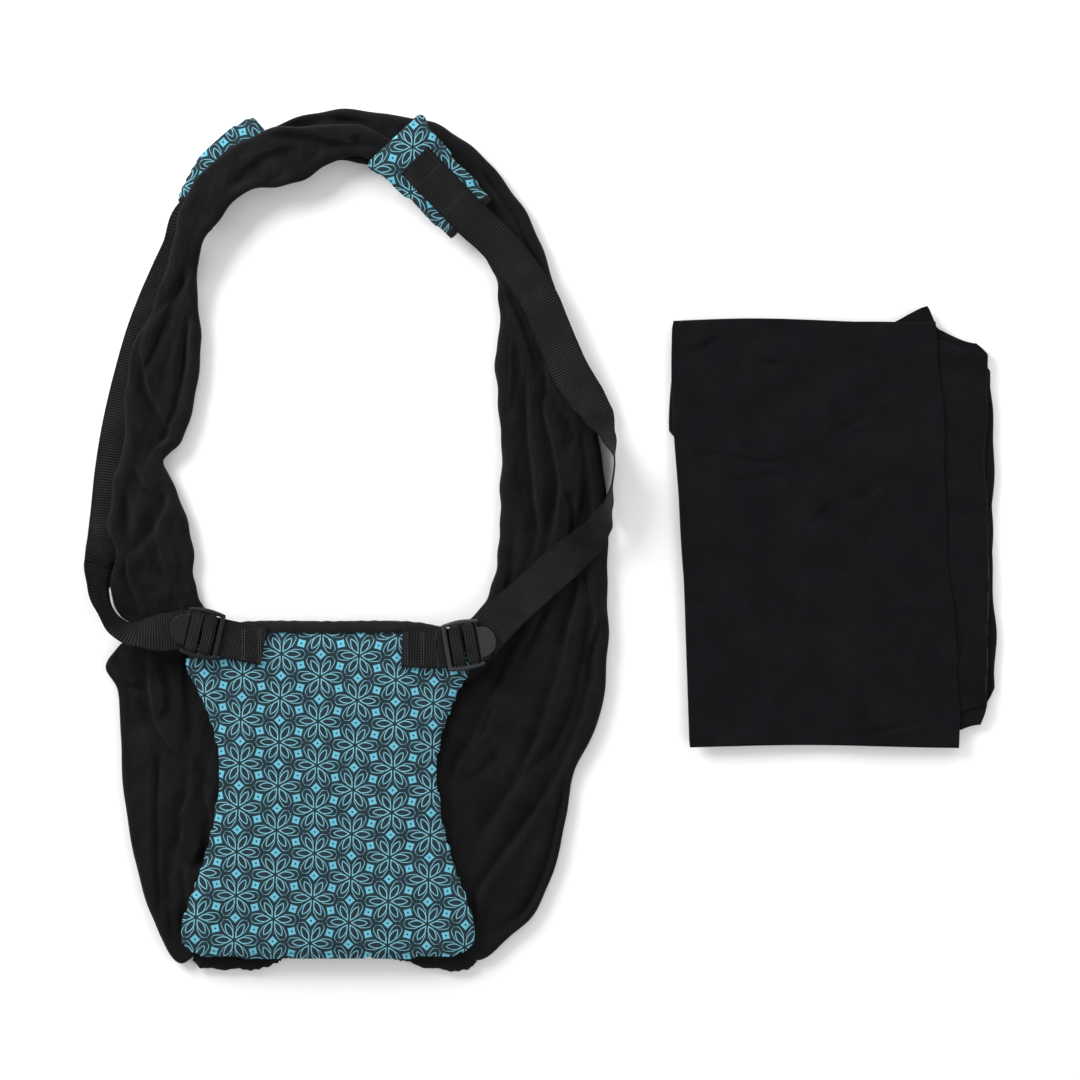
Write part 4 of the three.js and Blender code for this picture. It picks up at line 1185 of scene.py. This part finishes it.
# =====================================================================================
# Buckles
# =====================================================================================
def buckle(side, material):
    """A ladder-lock buckle: bowed side rails, three round bars, and a lifted thumb tab with grip ridges."""
    solids = []

    def add(points, faces):
        solids.append((points, faces))

    half_slot = 20 * MM
    rail_mid = 22.1 * MM

    def bar(x0, x1, half_height, half_length):
        rows, turns = 9, 20
        points, faces = [], []
        for i in range(rows):
            y = -half_length + 2 * half_length * i / (rows - 1)
            for k in range(turns):
                angle = 2 * math.pi * k / turns
                c, s = math.cos(angle), math.sin(angle)
                u = math.copysign(abs(c) ** 0.7, c)
                v = math.copysign(abs(s) ** 0.7, s)
                points.append(((x0 + x1) / 2 + u * (x1 - x0) / 2, y, v * half_height))
        faces += ring_faces(rows, turns)
        faces += [tuple(reversed(range(turns))), tuple(range((rows - 1) * turns, rows * turns))]
        add(points, faces)

    for x0, x1 in ((0.2 * MM, END_BAR), (SLOT_A, BAR_ONE), (SLOT_B, BAR_TWO)):
        bar(x0, x1, 1.95 * MM, half_slot + 2 * MM)

    for sign in (-1, 1):
        rows, turns = 26, 16
        points = []
        for i in range(rows):
            share = i / (rows - 1)
            x = 0.6 * MM + share * (SLOT_C + 1.4 * MM)
            bow = 1.5 * MM * math.sin(math.pi * min(1, share * 1.05))
            y = sign * (rail_mid + bow - 0.8 * MM)
            taper = 0.72 + 0.28 * math.sin(math.pi * share)
            for k in range(turns):
                angle = 2 * math.pi * k / turns
                points.append((x, y + math.cos(angle) * 2.5 * MM * taper,
                               0.35 * MM + math.sin(angle) * 2.55 * MM * taper))
        faces = ring_faces(rows, turns)
        faces += [tuple(reversed(range(turns))), tuple(range((rows - 1) * turns, rows * turns))]
        add(points, faces)

    # The thumb tab: a thin plate with a round tip that lifts a little.
    tip, tab_half = 52 * MM, 15 * MM
    columns, rows = 22, 25
    points = []
    for layer in (-1, 1):
        for i in range(columns):
            share = i / (columns - 1)
            x = SLOT_C - 1 * MM + share * (tip - SLOT_C + 1 * MM)
            shoulder = (rail_mid + 1 * MM) * (1 - share / 0.22) if share < 0.22 else 0
            round_half = tab_half * math.sqrt(max(0.0, 1 - max(0.0, (share - 0.12) / 0.88) ** 2.3))
            half = max(shoulder, round_half, 1.2 * MM)
            for j in range(rows):
                y = half * (2 * j / (rows - 1) - 1)
                lift = 1.6 * MM * share ** 2
                thin = 1.7 * MM - 0.5 * MM * share
                grip = 0.35 * MM * max(0.0, math.sin(share * 30)) * (layer > 0) * (abs(y) < tab_half * 0.62)
                grip *= 0.25 < share < 0.9
                points.append((x, y, lift + layer * thin + grip))
    faces = []
    sheet_size = columns * rows
    for i in range(columns - 1):
        for j in range(rows - 1):
            a = i * rows + j
            faces.append((a, a + rows, a + rows + 1, a + 1))
            faces.append(tuple(reversed([v + sheet_size for v in faces[-1]])))
    rim = ([i * rows for i in range(columns)] + [(columns - 1) * rows + j for j in range(1, rows)]
           + [i * rows + rows - 1 for i in range(columns - 2, -1, -1)] + [j for j in range(rows - 2, 0, -1)])
    for a, b in zip(rim, rim[1:] + rim[:1]):
        faces.append((a, b, b + sheet_size, a + sheet_size))
    add(points, faces)

    all_points, all_faces = [], []
    for solid_points, solid_faces in solids:
        base = len(all_points)
        all_points += solid_points
        all_faces += [tuple(v + base for v in face) for face in solid_faces]
    obj = make_mesh(f"{side}_ladder_buckle", all_points, all_faces, [material])
    face_out(obj)
    remesh = obj.modifiers.new("remesh", "REMESH")
    remesh.mode = "VOXEL"
    remesh.voxel_size = 0.5 * MM
    ease = obj.modifiers.new("ease", "SMOOTH")
    ease.factor = 0.5
    ease.iterations = 3
    apply_modifiers(obj)
    local = positions(obj.data)
    set_cloth(obj.data, local)
    matrix = buckle_matrix(side)
    set_positions(obj.data, [matrix @ Vector(p) for p in local])
    obj.data.polygons.foreach_set("use_smooth", [True] * len(obj.data.polygons))
    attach(obj, f"{side}_buckle")
    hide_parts(f"{side}_buckle")
    return obj


buckle("left", "left_plastic")
buckle("right", "right_plastic")


# =====================================================================================
# Top band
# =====================================================================================
def top_band():
    """Binding folded over the panel's top edge, with soft creases across it."""
    y = PANEL_TOP_Y + 5 * MM
    middle = (PANEL_LOW + PANEL_HIGH) / 2
    path = catmull([(PANEL_CENTRE_X - 128 * MM, y - 8.5 * MM, middle), (PANEL_CENTRE_X - 88 * MM, y, middle),
                    (PANEL_CENTRE_X, y + 1 * MM, middle), (PANEL_CENTRE_X + 88 * MM, y, middle),
                    (PANEL_CENTRE_X + 128 * MM, y - 8.5 * MM, middle)], 30)
    path, along = evenly(path, 1.2 * MM)
    heading = unit(np.gradient(path[:, :2], axis=0))
    side = np.column_stack([-heading[:, 1], heading[:, 0]])
    count = 28
    rings = np.zeros((len(path), count, 3))
    angles = (np.arange(count) + 0.5) / count * 2 * math.pi
    for k, angle in enumerate(angles):
        c, s = math.cos(angle), math.sin(angle)
        u = math.copysign(abs(c) ** 0.6, c)
        v = math.copysign(abs(s) ** 0.6, s)
        pucker = 1 + 0.05 * np.sin(along / 0.0021 + 0.8 * math.sin(angle)) * np.sin(along / 0.013 + 1)
        groove = 0.45 * MM * math.exp(-((c + 0.55) / 0.12) ** 2) * (s > 0)
        rings[:, k, :2] = path[:, :2] + side * (u * 5.9 * MM * pucker)[:, None]
        rings[:, k, 2] = path[:, 2] + v * 4.6 * MM * pucker - groove
    lengthwise = np.repeat(along[:, None], count, 1)
    round_edge = np.repeat(angles[None, :] * 5 * MM, len(path), 0)
    cloth = np.stack([lengthwise, round_edge, np.zeros((len(path), count))], axis=2)
    obj = tube("top_binding", rings, ["hem"], cloth)
    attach(obj, "carrier")
    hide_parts("top_band")
    return obj


top_band()


# =====================================================================================
# Stitching
# =====================================================================================
def stitch_row(line, surface, length=2.3 * MM, pitch=3.1 * MM, radius=0.3 * MM, lift=0.12 * MM):
    """Stitches along a line over a surface: each one a short capsule bedded in the cloth."""
    table, _ = evenly(np.asarray(line, float), 0.35 * MM)
    count = int(pitch / (0.35 * MM))
    used = int(length / (0.35 * MM))
    stitches = []
    for start in range(0, len(table) - used, count):
        points = []
        for row in table[start:start + used + 1]:
            hit = surface.ray_cast(Vector((row[0], row[1], 0.2)), Vector((0, 0, -1)))[0]
            if hit is None:
                points = []
                break
            points.append(np.array(hit))
        if points:
            stitches.append((np.array(points), radius, lift))
    return stitches


def stitch_object(name, stitches, material, body="carrier"):
    """All the stitches of one seam as one mesh."""
    points, faces, cloth = [], [], []
    turns = 6
    for centres, radius, lift in stitches:
        centres = centres[::2] if len(centres) > 4 else centres
        along = unit(np.gradient(centres, axis=0))
        side = unit(np.cross(along, (0, 0, 1)))
        up = np.cross(side, along)
        base = len(points)
        share = np.linspace(0, 1, len(centres))
        for i, centre in enumerate(centres):
            bulge = math.sqrt(max(0.12, 1 - (2 * share[i] - 1) ** 2))
            for k in range(turns):
                angle = 2 * math.pi * k / turns
                offset = side[i] * math.cos(angle) * radius * bulge
                offset = offset + up[i] * (math.sin(angle) * radius * bulge + lift * bulge)
                points.append(centre + offset)
                cloth.append(centre + offset)
        faces += [tuple(v + base for v in face) for face in ring_faces(len(centres), turns)]
        faces.append(tuple(reversed([base + k for k in range(turns)])))
        faces.append(tuple(base + (len(centres) - 1) * turns + k for k in range(turns)))
    obj = make_mesh(name, points, faces, [material], cloth)
    face_out(obj)
    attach(obj, body)
    return obj


def tree_of(obj):
    mesh = obj.data
    corners = [v.co.copy() for v in mesh.vertices]
    return BVHTree.FromPolygons(corners, [tuple(p.vertices) for p in mesh.polygons])


def flat_line(points):
    return [(x, y, 0) for x, y in points]


def stitching():
    panel_tree = tree_of(panel)
    ring = smooth_closed(panel_outline(5.5 * MM), 2 * MM)
    closed = flat_line(np.vstack([ring, ring[:1]]))
    stitch_object("panel_topstitch", stitch_row(closed, panel_tree), "thread")
    for side in PADS:
        matrix = PADS[side]
        strap_tree = tree_of(straps[side][0])
        pad_tree = tree_of(pads[side])
        half = WEB_WIDTH / 2 - 3 * MM

        def placed(local):
            return [tuple(matrix @ Vector((x * MM, y, 0))) for x, y in local]

        box = [(28, -half), (28, half), (52, half), (52, -half), (28, -half)]
        rows = stitch_row(placed(box), strap_tree)
        rows += stitch_row(placed([(88, -half), (88, half)]), strap_tree)
        rows += stitch_row(placed([(91, -half), (91, half)]), strap_tree)
        stitch_object(f"{side}_strap_stitch", rows, "thread")
        edge = smooth_closed(pad_outline(side, 4.2 * MM), 2 * MM)
        edge = [tuple(matrix @ Vector((x, y, 0))) for x, y in edge]
        stitch_object(f"{side}_pad_topstitch", stitch_row(edge + edge[:1], pad_tree), "thread")
    for side in BUCKLES:
        anchor_tree = tree_of(anchors[side][0])
        x, y = ANCHOR_ENDS[side]
        toward = 1 if side == "right" else -1
        half = WEB_WIDTH / 2 - 2.5 * MM
        rows = []
        for offset in (3.0, 5.4, 19.0, 21.4):
            line_x = x + toward * offset * MM
            rows += stitch_row([(line_x, y - half, 0), (line_x, y + half, 0)], anchor_tree)
        stitch_object(f"{side}_anchor_stitch", rows, "light_thread")


stitching()


def support_sash():
    """Each layer lies on the one below. The layers' right folds and ends don't line up."""
    pitch, cloth_thick = 1.5 * MM, 0.9 * MM
    #          left  right  top   bottom  (edges in millimetres at the middle of the layer)
    layers = [
        (139, 447, 206, -170), (137, 450, 196, -176), (138, 441, 213, -193),
        (137, 452, 190, -168), (139, 437, 216, -202), (136, 446, 203, -181), (136, 407, 219, -206),
    ]
    across_count, long_count = 130, 200
    v = np.linspace(0, 1, long_count)
    columns = []
    for i, (left, right, top, bottom) in enumerate(layers):
        direction = 1 if i % 2 == 0 else -1
        u = np.linspace(0, 1, across_count)
        u = u if direction > 0 else u[::-1]
        y = (bottom + (top - bottom) * v) * MM
        # The stack leans: every left edge runs inward on the way down, and the top layer's end runs outward.
        left_edge = (left + 17 * smoothstep(0.95, 0.0, v) - 3 + 1.2 * np.sin(v * 9 + 0.6 * i)) * MM
        slant = 24 * (0.5 - v) if i == len(layers) - 1 else 3 * (0.5 - v)
        right_edge = (right + slant + 1.8 * np.sin(v * 11 + 2 * i) + 0.9 * np.sin(v * 27 + i)) * MM
        if i == 2:
            # A corner of this layer sticks out past the others at the left.
            left_edge = left_edge - 9 * MM * smoothstep(205 * MM, 108 * MM, y) * (y > 107 * MM)
        for share in u:
            x = left_edge + (right_edge - left_edge) * share
            # The corners on the right are pulled in, a little more in every layer further down.
            corner = smoothstep(0.80, 1.0, share)
            top_dip = 2.0 * math.sin(share * 6 + i) * MM
            low_rise = 1.5 * math.sin(share * 5 + 2 * i) * MM
            if i < len(layers) - 1:
                top_dip -= corner * (9 + 3.2 * (len(layers) - i)) * MM
                low_rise += corner * (8 + 3.0 * (len(layers) - i)) * MM
            if i == 4:
                # One folded corner stands up above the top edge.
                top_dip += 19 * MM * max(0.0, 1 - abs(share - 0.84) / (0.11 if share < 0.84 else 0.03))
            yy = y + (smoothstep(0.62, 1.0, v) * top_dip) + smoothstep(0.38, 0.0, v) * low_rise
            z = np.full(long_count, cloth_thick / 2 + 0.2 * MM + i * pitch)
            columns.append((i, x, yy, z))
    return layers, columns, pitch, cloth_thick


def build_sash():
    layers, columns, pitch, cloth_thick = support_sash()
    radius = pitch / 2
    strips = []
    for index, (i, x, y, z) in enumerate(columns):
        strips.append(np.column_stack([x, y, z]))
        following = columns[index + 1] if index + 1 < len(columns) else None
        if following is not None and following[0] != i:
            outward = 1 if i % 2 == 0 else -1
            x2, y2 = following[1], following[2]
            for k in range(1, 6):
                angle = -math.pi / 2 + math.pi * k / 6
                t = k / 6
                bow = outward * radius * math.cos(angle)
                strips.append(np.column_stack([x * (1 - t) + x2 * t + bow, y * (1 - t) + y2 * t,
                                               z + radius + radius * math.sin(angle)]))
    strips = np.array(strips)
    creases = [
        (2.6, 2.6, 1, [(200, 210), (212, 190), (222, 178), (250, 178)]),
        (2.2, 3.0, 1, [(140, 188), (160, 192), (180, 205)]),
        (2.6, 3.0, -1, [(288, 100), (305, 112), (332, 124)]),
        (2.1, 3.2, 1, [(146, 82), (180, 86), (220, 78), (262, 84)]),
        (2.0, 3.4, 1, [(176, 64), (200, 60), (235, 66), (258, 50), (276, 32)]),
        (2.0, 3.4, -1, [(200, 34), (222, 28), (250, 8)]),
        (2.0, 3.4, 1, [(262, 12), (280, 26), (296, 40)]),
        (2.0, 3.6, -1, [(290, 32), (318, 40), (350, 60)]),
        (2.6, 3.0, -1, [(290, -202), (340, -192), (395, -180)]),
        (2.0, 3.0, 1, [(410, 40), (404, 0), (412, -40), (420, -80)]),
        (2.0, 3.0, -1, [(405, 150), (415, 110), (420, 60)]),
        (2.0, 3.0, 1, [(405, -150), (416, -120), (424, -80)]),
    ]
    x, y = strips[..., 0], strips[..., 1]
    drop, ridge = crease_field(x, y, creases)
    height = (strips[..., 2] - 0.65 * MM) / (pitch * (len(layers) - 1))
    soft = waves(x, y, [(0.0005, 0.21, 0.13, 0.4), (0.00035, -0.12, 0.09, 2.0), (0.00018, 0.045, 0.06, 1.1)])
    strips[..., 2] += np.clip(height, 0, 1) ** 2 * (soft - 0.8 * drop + ridge * 0.8)
    girth = np.concatenate([[0], np.cumsum(np.linalg.norm(np.diff(strips[:, 80], axis=0), axis=1))])
    count, rows = strips.shape[:2]
    cloth = np.stack([np.repeat(girth[:, None], rows, 1), y, 0 * x], axis=2)
    faces = ring_faces(count, rows, closed_ring=False)
    obj = make_mesh("sash_cloth", strips.reshape(-1, 3), faces, ["sash"], cloth.reshape(-1, 3))
    modifier = obj.modifiers.new("cloth", "SOLIDIFY")
    modifier.thickness = cloth_thick
    modifier.offset = 0.0
    apply_modifiers(obj)
    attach(obj, "sash")
    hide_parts("support_sash")
    return obj


def sash_serging(cloth):
    """Pale overlock stitches, worn in places, along the end of the layer under the top one."""
    tree = tree_of(cloth)
    rows = []
    edge = 447
    runs = ((62, 30, 0.6), (18, -40, -0.4), (-52, -96, 0), (-104, -128, 0.8), (-136, -150, 2.4))
    for top, bottom, inset in runs:
        line = [((edge - inset) * MM, y * MM, 0) for y in (top, bottom)]
        rows += stitch_row(line, tree, length=1.4 * MM, pitch=2.1 * MM)
    stitch_object("sash_serging", rows, "light_thread", "sash")


sash_serging(build_sash())


# =====================================================================================
# Table, light and camera
# =====================================================================================
def table():
    """A plain pale table top with a faint tooth."""
    size, steps = 9.0, 32
    line = np.linspace(-size, size, steps)
    gx, gy = np.meshgrid(line, line)
    points = np.column_stack([gx.ravel(), gy.ravel(), np.full(gx.size, -0.0002)])
    obj = make_mesh("table", points, ring_faces(steps, steps, closed_ring=False), [], points)
    g = Graph("table")
    _, place = g.attribute("cloth")
    tooth = g.noise(place, 30.0, 3.0)
    g.bump(tooth, 0.0001)
    colour = g.mix(tooth.ramp(0.2, 0.8), (0.885, 0.885, 0.885), (0.90, 0.90, 0.90))
    obj.data.materials.append(g.finish(colour, 0.7, 0.2))
    return obj


table()


def area_light(name, place, target, size, power):
    data = bpy.data.lights.new(name, "AREA")
    data.shape = "RECTANGLE"
    data.size, data.size_y = size
    data.energy = power
    obj = bpy.data.objects.new(name, data)
    obj.location = place
    obj.rotation_euler = (Vector(target) - Vector(place)).to_track_quat("-Z", "Y").to_euler()
    bpy.context.scene.collection.objects.link(obj)
    return obj


area_light("key", (-2.1, 1.7, 1.35), (0, 0, 0), (1.5, 1.5), 112)
area_light("fill", (2.2, -1.0, 1.6), (0, 0, 0), (2.2, 2.2), 30)
area_light("back", (0.6, 2.4, 1.0), (0, 0, 0), (2.2, 0.8), 26)

world = bpy.data.worlds.new("studio")
world.use_nodes = True
world.node_tree.nodes["Background"].inputs["Color"].default_value = (1.0, 1.0, 1.0, 1)
world.node_tree.nodes["Background"].inputs["Strength"].default_value = 0.6
bpy.context.scene.world = world
bpy.context.scene.view_settings.view_transform = "Standard"

CAMERA_HEIGHT = 3.2
FIELD = 1.08
camera_data = bpy.data.cameras.new("camera")
camera_data.sensor_width = 36
camera_data.lens = 36 * CAMERA_HEIGHT / FIELD
camera = bpy.data.objects.new("camera", camera_data)
camera.location = (0, 0, CAMERA_HEIGHT)
bpy.context.scene.collection.objects.link(camera)
bpy.context.scene.camera = camera
